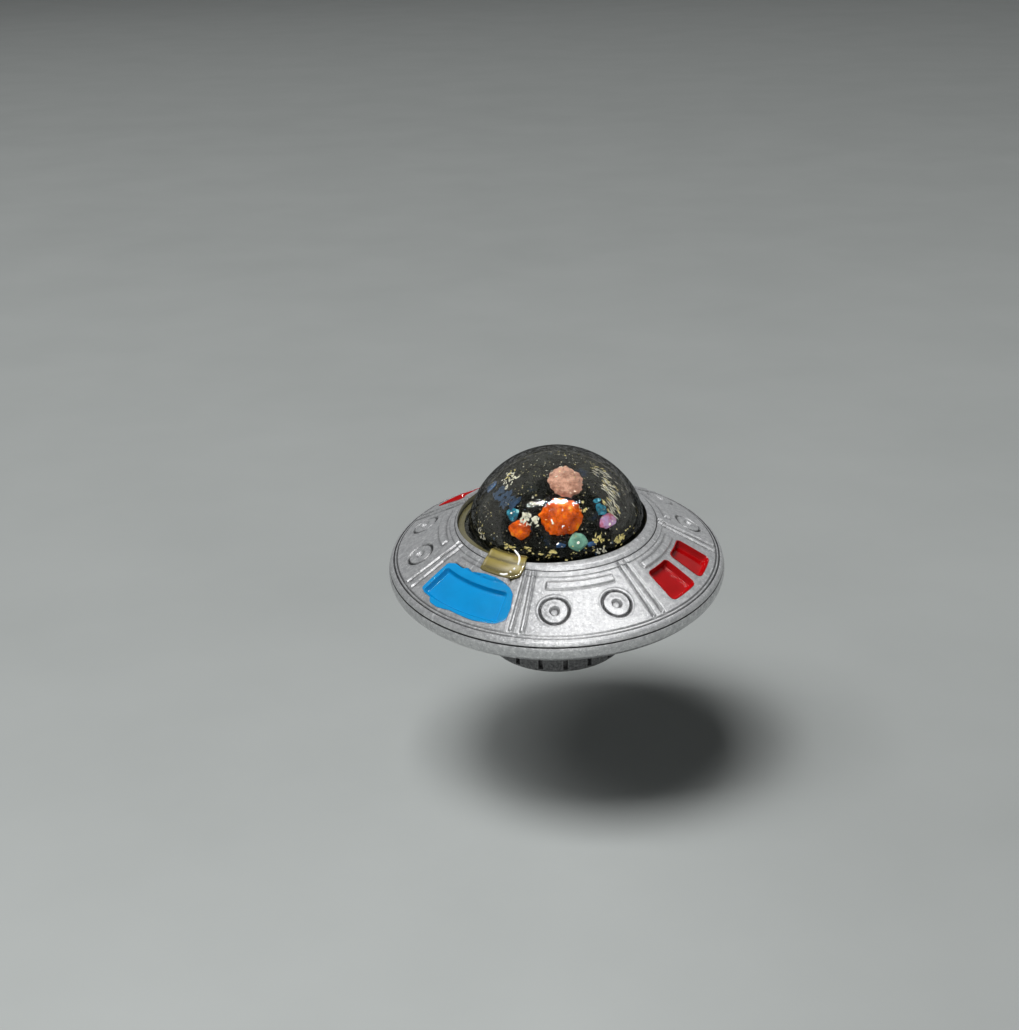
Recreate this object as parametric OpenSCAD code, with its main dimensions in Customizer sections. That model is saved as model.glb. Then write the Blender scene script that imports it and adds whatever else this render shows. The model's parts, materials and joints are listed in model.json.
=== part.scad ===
// Saucer spinning top: a silver saucer with a clear canopy turns on a slotted hub that stands on a table.
// Millimetres, +Z up along the spin axis, origin on the table under the axis, front towards -Y.
// Azimuths are degrees from the front, positive towards +X.

/* [Saucer] */
// Widest radius of the rim
saucer_r = 30; // [29.5:0.1:30.5]
// Height of the widest point of the rim above the table
rim_z = 15.2; // [14.9:0.1:15.5]
// Slope of the deck between the rim groove and the collar
deck_angle = 29.3; // [29:0.1:29.6]
// Wall thickness of the upper shell, measured square to the deck
deck_wall = 2; // [1.9:0.05:2.1]
// Wall thickness of the lower shell, measured square to the pan
pan_wall = 1.4; // [1.2:0.05:1.6]

/* [Deck pattern] */
// Azimuth of the middle of the blue sector
blue_azimuth = -39.8; // [-60:0.1:0]
// Width of one radial rib
rib_w = 0.6; // [0.4:0.05:0.8]
// Height of the ribs and arc bars above the deck
relief_h = 0.3; // [0.2:0.05:0.4]
// Depth of the red panels below the deck
red_depth = 1.1; // [0.8:0.05:1.2]
// Depth of the blue panel below the deck
blue_depth = 0.8; // [0.6:0.05:1.2]
// Outer radius of the ring groove of a porthole
porthole_r = 2.7; // [2.3:0.05:2.9]

/* [Canopy] */
// Radius of the clear dome at its foot
dome_r = 15.6; // [15.4:0.05:15.7]
// Height of the clear dome above its foot
dome_h = 12.6; // [11.5:0.1:14]
// Wall thickness of the clear dome
dome_wall = 0.9; // [0.8:0.05:0.95]
// Radius of the clear foot round the dome
foot_r = 16.15; // [16:0.05:16.2]
// Radius of the amber lip that reaches over the collar at the left
lip_r = 16.4; // [16.2:0.05:16.5]
// Azimuth of the middle of the lift tab
tab_azimuth = -31; // [-45:0.5:-20]
// Angle that the lift tab spans
tab_span = 24.4; // [16:0.2:30]

/* [Hub and drive] */
// Radius of the slotted hub
hub_r = 12.8; // [12.4:0.1:13]
// Height of the slotted hub
hub_h = 3.9; // [3.7:0.05:4]
// Number of finger slots round the hub
hub_slots = 18; // [12:1:24]
// Radius of the steel spindle
spindle_r = 2; // [1.95:0.01:2]
// Radial running clearance between spindle and bush
running_gap = 0.05; // [0.02:0.01:0.08]
// Turns of the flat mainspring
spring_turns = 6; // [4:1:6]

/* [Hidden] */
$fn = 96;

// Deck and rim
groove_r = 28.44;
groove_rise = 2.49;
outer_groove_r = 28.98;
collar_r = 17.85;
parting_z = rim_z + 0.9;
rim_wall_r = 27.2;
tongue = [28.1, 28.8];
tongue_h = 0.4;
pan_outer = [29.1, rim_z - 1.9];
pan_inner = [13.4, 4.3];
pan_slope = (pan_outer[1] - pan_inner[1]) / (pan_outer[0] - pan_inner[0]);
pan_wall_v = pan_wall * sqrt(1 + pan_slope * pan_slope);
deck_wall_v = deck_wall / cos(deck_angle);
floor_top = pan_inner[1] + pan_wall;
pan_bite = 0.5;
tongue_gap = 0.05;
eps = 0.01;
cut_h = 20;

function deck_z(r) = rim_z + groove_rise + (groove_r - r) * tan(deck_angle);
function deck_r(z) = groove_r - (z - rim_z - groove_rise) / tan(deck_angle);
function pan_z(r) = pan_inner[1] + (r - pan_inner[0]) * pan_slope;

// Seven equal sectors: the blue one, three with two portholes and three with two red panels
sectors = 7;
sector_angle = 360 / sectors;
porthole_sectors = [1, 3, 6];
red_sectors = [2, 4, 5];
porthole_row_r = 24.4;
porthole_half_angle = 12.6;
rib_half_angle = 2;
rib_span = [18, 28.2];
bar_span = [19.55, 20.8];
bar_half_angle = 16.7;
rib_length = (rib_span[1] - rib_span[0]) / cos(deck_angle);
porthole_groove = [0.45, 0.3];
porthole_dimple = [0.95, 0.35];
red_span = [21.5, 27.35];
red_edges = [2.1, 17.1];
blue_span = [20.95, 27.7];
blue_half_angle = 18.7;
panel_wall = 0.3;

function sector_azimuth(i) = blue_azimuth + i * sector_angle;

// Azimuth of the middle of red panel i, counted from 1 round the saucer, two to a sector
function red_azimuth(i) = sector_azimuth(red_sectors[floor((i - 1) / 2)])
    + (i % 2 == 1 ? -1 : 1) * (red_edges[0] + red_edges[1]) / 2;

// Collar, opening and shelf under the canopy
collar_step_r = 18.8;
collar_top_r = 16.4;
collar_top_z = deck_z(collar_r) + 1.12;
opening_r = foot_r + 0.1;
shelf_r = 12.6;
shelf_top_z = deck_z(collar_r) - 1.42;
shelf_bottom_z = shelf_top_z - 1.3;
rebate_z = deck_z(collar_r) + 0.58;
rebate_r = lip_r + 0.12;
dome_axis = [0.2, 0];
foot_axis = [-0.15, 0];
lip_axis = [-0.95, -0.1];
foot_h = 0.5;
tab_r = 19.35;
tab_gap = 0.16;
tab_h = 0.4;
tab_root_r = 15.2;
tab_crest_r = 17.2;
tab_crest_z = collar_top_z - 0.02;
dome_z = rebate_z + 0.28;
dome_power = 1.08;
core_gap = 0.25;
core_flange_gap = 0.05;
snap_gap = 0.08;
snap_h = 0.8;
core_r = dome_r - dome_wall - core_gap;
core_h = dome_h - dome_wall - core_gap;
proud = 0.12;
inlay_room = 0.06;
flake_count = 21;
flake_size = [0.9, 0.08, 0.5];
flake_stand_off = 0.07;

// Drive train along the spindle
hub_recess_r = 9.5;
hub_recess_h = 1;
hub_head = [2.2, 0.9];
hub_head_sink = 0.4;
hub_thread_h = 4.6;
slot_azimuth = -13.7;
slot_w = 0.7;
slot_depth = 1;
slot_z = 0.5;
slot_h = 2.7;
spindle_bottom = 2;
spindle_top = 17.6;
ball_r = 1.25;
ball_z = 18;
clip_z = 6.55;
clip_h = 0.6;
clip_groove_r = 1.6;
bush_r = 3.6;
bush_flange = [5.2, 0.55];
barrel_bottom = 7.6;
barrel_r = 11;
barrel_wall = 0.8;
barrel_top = 14;
barrel_seat_w = 1.2;
barrel_nest_h = 1.1;
arbor_r = 4.2;
arbor_bore = 2.75;
arbor_collar = [4.9, 0.3];
end_gap = 0.1;
cover_r = 14.9;
cover_h = 1;
cover_boss = [4.2, 6.2];
cup_r = 2.45;
cup_span = [18.8, 20];
dimple_r = 1.5;
spring_strip = 0.25;
spring_start_r = 4.5;
spring_pitch = 0.9;
clutch_r = 2.38;
clutch_wire = 0.27;
clutch_turns = 6;
clutch_pitch = 0.8;
post_count = 3;
cover_post = [13.2, 1.5];
shell_post = [18.6, 2.2];
shell_post_z = 10.8;
shell_post_azimuth = 11.6;
shell_head = [1.8, 0.9];
shell_shank = 1;
shell_seat_z = 9.4;
shell_boss_r = 3;
shell_post_top = 21.3;
shell_hole_h = 6.5;
cover_shank = 0.8;
cover_hole_z = 9;
cover_head = [1.4, 0.8];
cover_thread_h = 5.5;
shell_thread_h = 7;
head_gap = 0.2;
shank_gap = 0.15;
hub_thread_r = shell_shank;
flywheel_span = [22.2, 26.6];
flywheel_bottom = 13.6;
flywheel_h = 3.8;
flywheel_bevel = [2, 1.1];
flywheel_ledge = 1.2;

function shell_screw_azimuth(i) = shell_post_azimuth + i * 360 / post_count;
function cover_screw_azimuth(i) = i * 360 / post_count;

// Puts children on the deck with +Z square to it and -Y running outwards and down
module on_deck(r, azimuth) {
    rotate([0, 0, azimuth]) translate([0, -r, deck_z(r)]) rotate([deck_angle, 0, 0]) children();
}

// Puts children upright at a radius and azimuth
module at_azimuth(r, azimuth) {
    rotate([0, 0, azimuth]) translate([0, -r, 0]) children();
}

// Turns a radius-height outline through an arc centred on an azimuth
module arc_sweep(azimuth, angle) {
    rotate([0, 0, azimuth - angle / 2 - 90]) rotate_extrude(angle = angle) children();
}

// Solid over a patch of the deck, from below it to above it, both measured square to the deck
module deck_patch(span, azimuth, angle, below, above) {
    down = below / cos(deck_angle);
    up = above / cos(deck_angle);
    arc_sweep(azimuth, angle) polygon([
        [span[0], deck_z(span[0]) - down], [span[1], deck_z(span[1]) - down],
        [span[1], deck_z(span[1]) + up], [span[0], deck_z(span[0]) + up]]);
}

// Moves children to a height on a vertical axis beside the spin axis
module off_axis(axis, z) {
    translate([axis[0], axis[1], z]) children();
}

module ring(outer, inner, z, h) {
    translate([0, 0, z]) difference() {
        cylinder(r = outer, h = h);
        translate([0, 0, -eps]) cylinder(r = inner, h = h + 2 * eps);
    }
}

// Open tray that lines a recess in the deck, its rim level with the deck
module panel_tray(span, azimuth, angle, depth) {
    side = panel_wall / span[0] * 180 / PI;
    inner = [span[0] + panel_wall, span[1] - panel_wall];
    difference() {
        deck_patch(span, azimuth, angle, depth + panel_wall, 0);
        deck_patch(inner, azimuth, angle - 2 * side, depth, 1);
    }
}

function dome_outline(r, h, z) = concat(
    [[0, z]],
    [for (t = [0:4.5:85.5]) [r * pow(cos(t), dome_power), z + h * pow(sin(t), dome_power)]],
    [[0, z + h]]);

module dome_solid(r, h, z) {
    off_axis(dome_axis, 0) rotate_extrude() polygon(dome_outline(r, h, z));
}

// Ball set into the core at a dome azimuth and tilt, with its centre sunk below the core's surface
module core_ball(azimuth, tilt, r, sunk) {
    reach = (core_r - sunk) * cos(tilt);
    rise = (core_h - sunk) * sin(tilt);
    off_axis(dome_axis, dome_z + rise) rotate([0, 0, azimuth]) translate([0, -reach, 0])
        sphere(r = r, $fn = 48);
}

// Part of a ball that shows at the core's surface, standing a little proud of it
module core_inlay() {
    intersection() {
        dome_solid(core_r + proud, core_h + proud, dome_z);
        children();
    }
}

// Inlay that leaves room for the two planets
module minor_inlay() {
    difference() {
        core_inlay() children();
        large_planet_ball(inlay_room);
        small_planet_ball(inlay_room);
    }
}

// The two planets are cut from their smaller neighbours with a little room round them
module large_planet_ball(room = 0) { core_ball(2.5, 35, 4.2 + room, 1.5); }
module small_planet_ball(room = 0) { core_ball(-28, 21.6, 2.2 + room, 0.9); }
module moon_ball() { core_ball(12.7, 63, 3, 1); }
module cyan_balls() {
    core_ball(-37, 31, 0.85, 0.5);
    core_ball(36.4, 37, 0.85, 0.5);
}
module purple_ball() { core_ball(38.6, 23, 1.05, 0.5); }
module teal_ball() { core_ball(14.5, 14.5, 1.25, 0.6); }
module chip_balls() {
    core_ball(-1, 14, 0.8, 0.5);
    core_ball(24, 12.5, 0.8, 0.5);
    core_ball(-90, 34, 1.2, 0.7);
}

module upper_shell_body() {
    inner_top_r = deck_r(shelf_bottom_z + deck_wall_v);
    inner_rim_r = deck_r(parting_z + deck_wall_v);
    rotate_extrude() polygon([
        [shelf_r, shelf_bottom_z], [inner_top_r, shelf_bottom_z], [inner_rim_r, parting_z],
        [saucer_r - 0.3, parting_z], [saucer_r - 0.12, parting_z + 0.25],
        [saucer_r - 0.35, parting_z + 0.8], [outer_groove_r + 0.2, parting_z + 1.5],
        [outer_groove_r, deck_z(outer_groove_r) - 0.25], [groove_r + 0.25, deck_z(groove_r + 0.25)],
        [groove_r, deck_z(groove_r) - 0.22], [groove_r - 0.22, deck_z(groove_r - 0.22)],
        [collar_step_r, deck_z(collar_step_r)], [collar_step_r - 0.1, deck_z(collar_step_r - 0.1) + 0.14],
        [collar_r + 0.1, deck_z(collar_r + 0.1) + 0.14], [collar_r, deck_z(collar_r) - 0.1],
        [collar_r - 0.08, deck_z(collar_r) + 0.25], [collar_r - 0.6, deck_z(collar_r) + 0.72],
        [collar_top_r, collar_top_z], [shelf_r, collar_top_z]]);
}

module upper_shell() {
    color("silver") difference() {
        union() {
            upper_shell_body();
            for (i = [0:sectors - 1]) {
                for (side = [-1, 1]) {
                    on_deck((rib_span[0] + rib_span[1]) / 2, sector_azimuth(i + 0.5) + side * rib_half_angle)
                        cube([rib_w, rib_length, 2 * relief_h], center = true);
                }
                deck_patch(bar_span, sector_azimuth(i), 2 * bar_half_angle, relief_h, relief_h);
            }
            for (i = [0:post_count - 1]) {
                at_azimuth(shell_post[0], shell_screw_azimuth(i)) translate([0, 0, shell_post_z])
                    cylinder(r = shell_post[1], h = shell_post_top - shell_post_z);
            }
        }
        off_axis(foot_axis, shelf_top_z) cylinder(r = opening_r, h = cut_h);
        off_axis(lip_axis, rebate_z) cylinder(r = rebate_r, h = cut_h);
        ring(tongue[1] + tongue_gap, tongue[0] - tongue_gap, parting_z - eps, tongue_h + 3 * tongue_gap);
        deck_patch(blue_span, sector_azimuth(0), 2 * blue_half_angle, blue_depth + panel_wall, 1);
        for (i = [1:2 * len(red_sectors)]) {
            deck_patch(red_span, red_azimuth(i), red_edges[1] - red_edges[0], red_depth + panel_wall, 1);
        }
        for (i = porthole_sectors) {
            for (side = [-1, 1]) {
                on_deck(porthole_row_r, sector_azimuth(i) + side * porthole_half_angle) {
                    ring(porthole_r, porthole_r - porthole_groove[0], -porthole_groove[1], 1);
                    translate([0, 0, -porthole_dimple[1]]) cylinder(r = porthole_dimple[0], h = 1, $fn = 32);
                }
            }
        }
        for (i = [0:post_count - 1]) {
            at_azimuth(shell_post[0], shell_screw_azimuth(i))
                translate([0, 0, shell_post_z - eps]) cylinder(r = shell_shank, h = shell_hole_h, $fn = 32);
        }
    }
}

// Ring that rises from inside the pan's wall to a height, between two radii
module pan_riser(inner_r, outer_r, top_z) {
    rotate_extrude() polygon([
        [inner_r, pan_z(inner_r) + pan_bite], [outer_r, pan_z(outer_r) + pan_bite],
        [outer_r, top_z], [inner_r, top_z]]);
}

module lower_shell() {
    color("silver") difference() {
        union() {
            rotate_extrude() polygon([
                [bush_r, pan_inner[1]], pan_inner, pan_outer, [saucer_r - 0.3, rim_z - 1.3],
                [saucer_r, rim_z - 0.5], [saucer_r, rim_z + 0.35], [saucer_r - 0.3, parting_z],
                [tongue[1], parting_z], [tongue[1], parting_z + tongue_h], [tongue[0], parting_z + tongue_h],
                [tongue[0], parting_z], [rim_wall_r, parting_z],
                [rim_wall_r, pan_z(rim_wall_r) + pan_wall_v],
                [pan_inner[0] - 0.37, floor_top], [bush_r, floor_top]]);
            ring(barrel_r + barrel_wall, barrel_r - barrel_seat_w, floor_top - pan_bite,
                barrel_bottom - floor_top + pan_bite);
            ring(barrel_r + barrel_wall, barrel_r + running_gap, floor_top - pan_bite,
                barrel_bottom + barrel_nest_h - floor_top + pan_bite);
            pan_riser(flywheel_span[0], flywheel_span[0] + flywheel_ledge, flywheel_bottom);
            for (i = [0:post_count - 1]) {
                at_azimuth(cover_post[0], cover_screw_azimuth(i)) translate([0, 0, floor_top - pan_bite])
                    cylinder(r = cover_post[1], h = barrel_top - floor_top + pan_bite);
                intersection() {
                    at_azimuth(shell_post[0], shell_screw_azimuth(i))
                        cylinder(r = shell_boss_r, h = shell_post_z);
                    pan_riser(pan_inner[0], shell_post[0] + 2 * shell_boss_r, rim_z);
                }
            }
        }
        for (i = [0:post_count - 1]) {
            at_azimuth(cover_post[0], cover_screw_azimuth(i)) translate([0, 0, cover_hole_z])
                cylinder(r = cover_shank, h = cut_h, $fn = 32);
            at_azimuth(shell_post[0], shell_screw_azimuth(i)) {
                cylinder(r = shell_head[0] + head_gap, h = shell_seat_z, $fn = 48);
                cylinder(r = shell_shank + shank_gap, h = rim_z, $fn = 32);
            }
        }
    }
}

module blue_panel() {
    color("dodgerblue") panel_tray(blue_span, sector_azimuth(0), 2 * blue_half_angle, blue_depth);
}

module red_panel(i) {
    color("firebrick") panel_tray(red_span, red_azimuth(i), red_edges[1] - red_edges[0], red_depth);
}

module canopy() {
    color("darkkhaki") {
        difference() {
            union() {
                dome_solid(dome_r, dome_h, dome_z);
                off_axis(foot_axis, rebate_z) cylinder(r = foot_r, h = foot_h);
                off_axis(lip_axis, rebate_z) cylinder(r = lip_r, h = foot_h);
                arc_sweep(tab_azimuth, tab_span) polygon([
                    [tab_root_r, rebate_z], [tab_root_r + 1.4, rebate_z],
                    [tab_root_r + 1.4, tab_crest_z], [tab_crest_r, tab_crest_z],
                    [collar_r + 0.1, tab_crest_z - 0.4], [tab_r, deck_z(tab_r) + tab_gap],
                    [tab_r, deck_z(tab_r) + tab_gap + tab_h], [collar_r + 0.2, tab_crest_z - 0.4 + tab_h],
                    [tab_crest_r, tab_crest_z + tab_h], [tab_root_r, tab_crest_z + tab_h]]);
            }
            dome_solid(dome_r - dome_wall, dome_h - dome_wall, dome_z);
            off_axis(dome_axis, shelf_top_z)
                cylinder(r = dome_r - dome_wall, h = dome_z - shelf_top_z + eps);
        }
    }
}

module galaxy_core() {
    color("#101614") difference() {
        union() {
            dome_solid(core_r, core_h, dome_z);
            off_axis(dome_axis, shelf_top_z) cylinder(r = core_r, h = dome_z - shelf_top_z);
            off_axis(foot_axis, shelf_top_z)
                cylinder(r = foot_r, h = rebate_z - core_flange_gap - shelf_top_z);
            off_axis(dome_axis, shelf_top_z)
                cylinder(r = dome_r - dome_wall - snap_gap, h = rebate_z + snap_h - shelf_top_z);
        }
        large_planet_ball();
        small_planet_ball();
        moon_ball();
        cyan_balls();
        purple_ball();
        teal_ball();
        chip_balls();
    }
}

module orange_planet_large() {
    color("orangered") core_inlay() large_planet_ball();
}

module orange_planet_small() {
    color("orangered") core_inlay() small_planet_ball();
}

module pink_moon() {
    color("rosybrown") minor_inlay() moon_ball();
}

module cyan_beads() {
    color("deepskyblue") minor_inlay() cyan_balls();
}

module purple_bead() {
    color("mediumorchid") minor_inlay() purple_ball();
}

module teal_bead() {
    color("mediumaquamarine") minor_inlay() teal_ball();
}

module blue_chips() {
    color("steelblue") minor_inlay() chip_balls();
}

// Foil flakes round the foot of the core, lying on its surface
module glitter_flakes() {
    color("khaki") for (i = [0:flake_count - 1]) {
        tilt = 5 + 4 * ((i * 0.618) % 1);
        reach = core_r * pow(cos(tilt), dome_power) + flake_stand_off;
        off_axis(dome_axis, dome_z + core_h * pow(sin(tilt), dome_power)) rotate([0, 0, -70 + i * 7])
            translate([0, -reach, 0]) rotate([8, 0, 0]) cube(flake_size, center = true);
    }
}

module grip_hub() {
    color("dimgray") difference() {
        rotate_extrude() polygon([
            [0, hub_recess_h], [hub_recess_r, hub_recess_h], [hub_recess_r, 0], [hub_r - 0.3, 0],
            [hub_r, 0.3], [hub_r, hub_h - 0.4], [hub_r - 0.4, hub_h], [0, hub_h]]);
        for (i = [0:hub_slots - 1]) {
            rotate([0, 0, slot_azimuth + i * 360 / hub_slots])
                translate([-slot_w / 2, -hub_r - slot_depth, slot_z]) cube([slot_w, 2 * slot_depth, slot_h]);
        }
        cylinder(r = hub_head[0] + head_gap, h = hub_recess_h + hub_head_sink, $fn = 48);
        cylinder(r = hub_thread_r + running_gap, h = hub_h, $fn = 32);
        translate([0, 0, spindle_bottom]) cylinder(r = spindle_r, h = hub_h, $fn = 48);
    }
}

// Round screw head with a cross recess, its head below the origin and its shank above
module screw(head, shank_r, shank_h) {
    difference() {
        translate([0, 0, -head[1]]) cylinder(r = head[0], h = head[1], $fn = 48);
        for (turn = [0, 90]) {
            rotate([0, 0, turn]) translate([-head[0] * 0.6, -0.2, -head[1] - eps])
                cube([head[0] * 1.2, 0.4, head[1] * 0.5]);
        }
    }
    cylinder(r = shank_r, h = shank_h, $fn = 32);
}

module hub_screw() {
    color("gainsboro") translate([0, 0, hub_recess_h + hub_head_sink])
        screw(hub_head, hub_thread_r, hub_thread_h);
}

module spindle() {
    color("lightsteelblue") difference() {
        translate([0, 0, spindle_bottom])
            cylinder(r = spindle_r, h = spindle_top - spindle_bottom, $fn = 64);
        translate([0, 0, spindle_bottom - 1]) cylinder(r = shell_shank, h = 5.2, $fn = 32);
        ring(spindle_r + 1, clip_groove_r, clip_z - 0.03, clip_h + 0.06);
        translate([0, 0, ball_z - ball_r]) cylinder(r = ball_r + 0.02, h = 5, $fn = 48);
    }
}

module pivot_ball() {
    color("white") translate([0, 0, ball_z]) sphere(r = ball_r, $fn = 48);
}

// Slotted clip that snaps into the spindle's groove above the lower bush
module retaining_clip() {
    color("gray") difference() {
        ring(3.6, clip_groove_r + 0.02, clip_z, clip_h);
        translate([-1.3, -5, clip_z - 1]) cube([2.6, 4.2, clip_h + 2]);
    }
}

module lower_bush() {
    color("gold") difference() {
        union() {
            translate([0, 0, pan_inner[1]]) cylinder(r = bush_r, h = pan_wall + 0.1);
            translate([0, 0, floor_top]) cylinder(r = bush_flange[0], h = bush_flange[1]);
        }
        cylinder(r = spindle_r + running_gap, h = cut_h, $fn = 64);
    }
}

module pivot_cup() {
    color("gold") difference() {
        translate([0, 0, cup_span[0]]) cylinder(r = cup_r, h = cup_span[1] - cup_span[0]);
        translate([0, 0, ball_z + ball_r - dimple_r]) sphere(r = dimple_r, $fn = 48);
    }
}

module flywheel_ring() {
    top = flywheel_bottom + flywheel_h;
    color("slategray") rotate_extrude() polygon([
        [flywheel_span[0], flywheel_bottom], [flywheel_span[1], flywheel_bottom],
        [flywheel_span[1], top - flywheel_bevel[1]], [flywheel_span[1] - flywheel_bevel[0], top],
        [flywheel_span[0], top]]);
}

module spring_barrel() {
    color("goldenrod") {
        difference() {
            translate([0, 0, barrel_bottom]) cylinder(r = barrel_r, h = barrel_top - barrel_bottom);
            translate([0, 0, barrel_bottom + barrel_wall]) cylinder(r = barrel_r - barrel_wall, h = cut_h);
            cylinder(r = arbor_r + running_gap, h = cut_h);
        }
    }
}

module barrel_cover() {
    color("goldenrod") difference() {
        union() {
            translate([0, 0, barrel_top]) cylinder(r = cover_r, h = cover_h);
            translate([0, 0, barrel_top]) cylinder(r = cover_boss[0], h = cover_h + cover_boss[1]);
        }
        translate([0, 0, barrel_top - 1]) cylinder(r = cup_r, h = cup_span[1] - barrel_top + 1);
        for (i = [0:post_count - 1]) {
            at_azimuth(cover_post[0], cover_screw_azimuth(i))
                cylinder(r = cover_shank + shank_gap, h = cut_h, $fn = 32);
        }
    }
}

function spiral(turns, r0, pitch, shift) =
    [for (a = [0:12:360 * turns]) let (r = r0 + pitch * a / 360 + shift) [r * cos(a), r * sin(a)]];

module mainspring() {
    outer = spiral(spring_turns, spring_start_r, spring_pitch, spring_strip / 2);
    inner = spiral(spring_turns, spring_start_r, spring_pitch, -spring_strip / 2);
    last = len(inner) - 1;
    color("lightslategray") translate([0, 0, barrel_bottom + barrel_wall + 0.5])
        linear_extrude(height = 4.6)
        polygon(concat(outer, [for (i = [0:last]) inner[last - i]]));
}

module spring_arbor() {
    floor_z = barrel_bottom + barrel_wall;
    color("peru") difference() {
        union() {
            translate([0, 0, barrel_bottom + end_gap])
                cylinder(r = arbor_r, h = barrel_top - barrel_bottom - 2 * end_gap);
            translate([0, 0, floor_z + 0.05]) cylinder(r = arbor_collar[0], h = arbor_collar[1]);
        }
        cylinder(r = arbor_bore, h = cut_h);
    }
}

// Close-wound wire round the spindle that grips it in one direction only
module clutch_spring() {
    sides = 8;
    steps = 20 * clutch_turns;
    bottom = barrel_bottom + 0.8;
    points = [for (i = [0:steps]) for (j = [0:sides - 1])
        let (a = i * 18, b = j * 360 / sides, r = clutch_r + clutch_wire * cos(b))
        [r * cos(a), r * sin(a), bottom + clutch_pitch * a / 360 + clutch_wire * sin(b)]];
    walls = [for (i = [0:steps - 1]) for (j = [0:sides - 1])
        let (k = (j + 1) % sides)
        [i * sides + j, (i + 1) * sides + j, (i + 1) * sides + k, i * sides + k]];
    ends = [[for (j = [0:sides - 1]) j], [for (j = [0:sides - 1]) steps * sides + sides - 1 - j]];
    color("lightslategray") polyhedron(points = points, faces = concat(ends, walls));
}

module cover_screws() {
    color("gainsboro") for (i = [0:post_count - 1]) {
        at_azimuth(cover_post[0], cover_screw_azimuth(i)) translate([0, 0, barrel_top + cover_h])
            mirror([0, 0, 1]) screw(cover_head, cover_shank, cover_thread_h);
    }
}

module shell_screws() {
    color("gainsboro") for (i = [0:post_count - 1]) {
        at_azimuth(shell_post[0], shell_screw_azimuth(i)) translate([0, 0, shell_seat_z])
            screw(shell_head, shell_shank, shell_thread_h);
    }
}

upper_shell();
lower_shell();
blue_panel();
red_panel(1);  // red_panel_1
red_panel(2);  // red_panel_2
red_panel(3);  // red_panel_3
red_panel(4);  // red_panel_4
red_panel(5);  // red_panel_5
red_panel(6);  // red_panel_6
canopy();
galaxy_core();
orange_planet_large();
orange_planet_small();
pink_moon();
cyan_beads();
purple_bead();
teal_bead();
blue_chips();
glitter_flakes();
grip_hub();
hub_screw();
spindle();
pivot_ball();
retaining_clip();
lower_bush();
pivot_cup();
flywheel_ring();
spring_barrel();
barrel_cover();
mainspring();
spring_arbor();
clutch_spring();
cover_screws();
shell_screws();
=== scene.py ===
import json
import math
import random

import bmesh
import bpy
import numpy as np
from mathutils import Matrix, Vector

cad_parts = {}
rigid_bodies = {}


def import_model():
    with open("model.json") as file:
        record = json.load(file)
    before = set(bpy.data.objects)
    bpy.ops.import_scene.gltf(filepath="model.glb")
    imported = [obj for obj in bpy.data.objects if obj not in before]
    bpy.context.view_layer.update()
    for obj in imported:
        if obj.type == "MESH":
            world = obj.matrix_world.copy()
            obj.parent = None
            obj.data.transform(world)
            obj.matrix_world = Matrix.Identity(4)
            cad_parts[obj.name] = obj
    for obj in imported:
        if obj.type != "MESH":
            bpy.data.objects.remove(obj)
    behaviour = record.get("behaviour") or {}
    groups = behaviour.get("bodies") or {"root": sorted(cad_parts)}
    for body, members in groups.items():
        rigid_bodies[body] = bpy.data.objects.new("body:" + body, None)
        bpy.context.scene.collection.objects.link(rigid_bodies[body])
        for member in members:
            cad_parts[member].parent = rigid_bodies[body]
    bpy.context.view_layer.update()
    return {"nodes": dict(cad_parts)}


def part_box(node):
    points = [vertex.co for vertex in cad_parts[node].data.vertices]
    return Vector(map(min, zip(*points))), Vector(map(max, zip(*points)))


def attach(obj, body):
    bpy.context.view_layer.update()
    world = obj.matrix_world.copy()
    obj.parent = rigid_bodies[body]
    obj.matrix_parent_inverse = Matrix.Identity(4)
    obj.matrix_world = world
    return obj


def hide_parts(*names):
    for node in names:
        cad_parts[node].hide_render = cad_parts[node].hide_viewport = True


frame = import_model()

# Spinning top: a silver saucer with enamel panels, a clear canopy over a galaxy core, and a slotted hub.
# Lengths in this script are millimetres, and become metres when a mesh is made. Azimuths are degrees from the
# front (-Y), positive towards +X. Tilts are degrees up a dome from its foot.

MM = 0.001


# ---------------------------------------------------------------- sizes

def node_top(node):
    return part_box(node)[1][2] / MM


def node_bottom(node):
    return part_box(node)[0][2] / MM


def node_half_width(node):
    low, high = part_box(node)
    return (high[0] - low[0]) / 2 / MM


# Saucer
RIM_R = node_half_width("lower_shell")
PARTING_Z = node_top("lower_shell") - 0.4
RIM_Z = PARTING_Z - 0.9
PAN_Z = node_bottom("lower_shell")
PAN_FLOOR_R = 13.4
PAN_EDGE_R = 29.1
PAN_BORE_R = 3.6
PAN_WALL = 1.4
RIM_INSIDE_R = 27.2
COLLAR_TOP_Z = node_top("upper_shell")
DECK_ANGLE = math.radians(29.3)
DECK_SLOPE = math.tan(DECK_ANGLE)
DECK_RISE = 2.49
DECK_CROWN = 0.12
GROOVE_R = 28.44
OUTER_GROOVE_R = 28.98
COLLAR_R = 17.85
COLLAR_TOP_R = 16.4
STEP_R = 18.8
SHELF_R = 12.6
SHELF_TOP_Z = node_bottom("galaxy_core")
SHELF_H = 1.3
DECK_COLUMNS = 1260
SNAP_REACH = 0.062
SNAP_PROBE = 0.02

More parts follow.
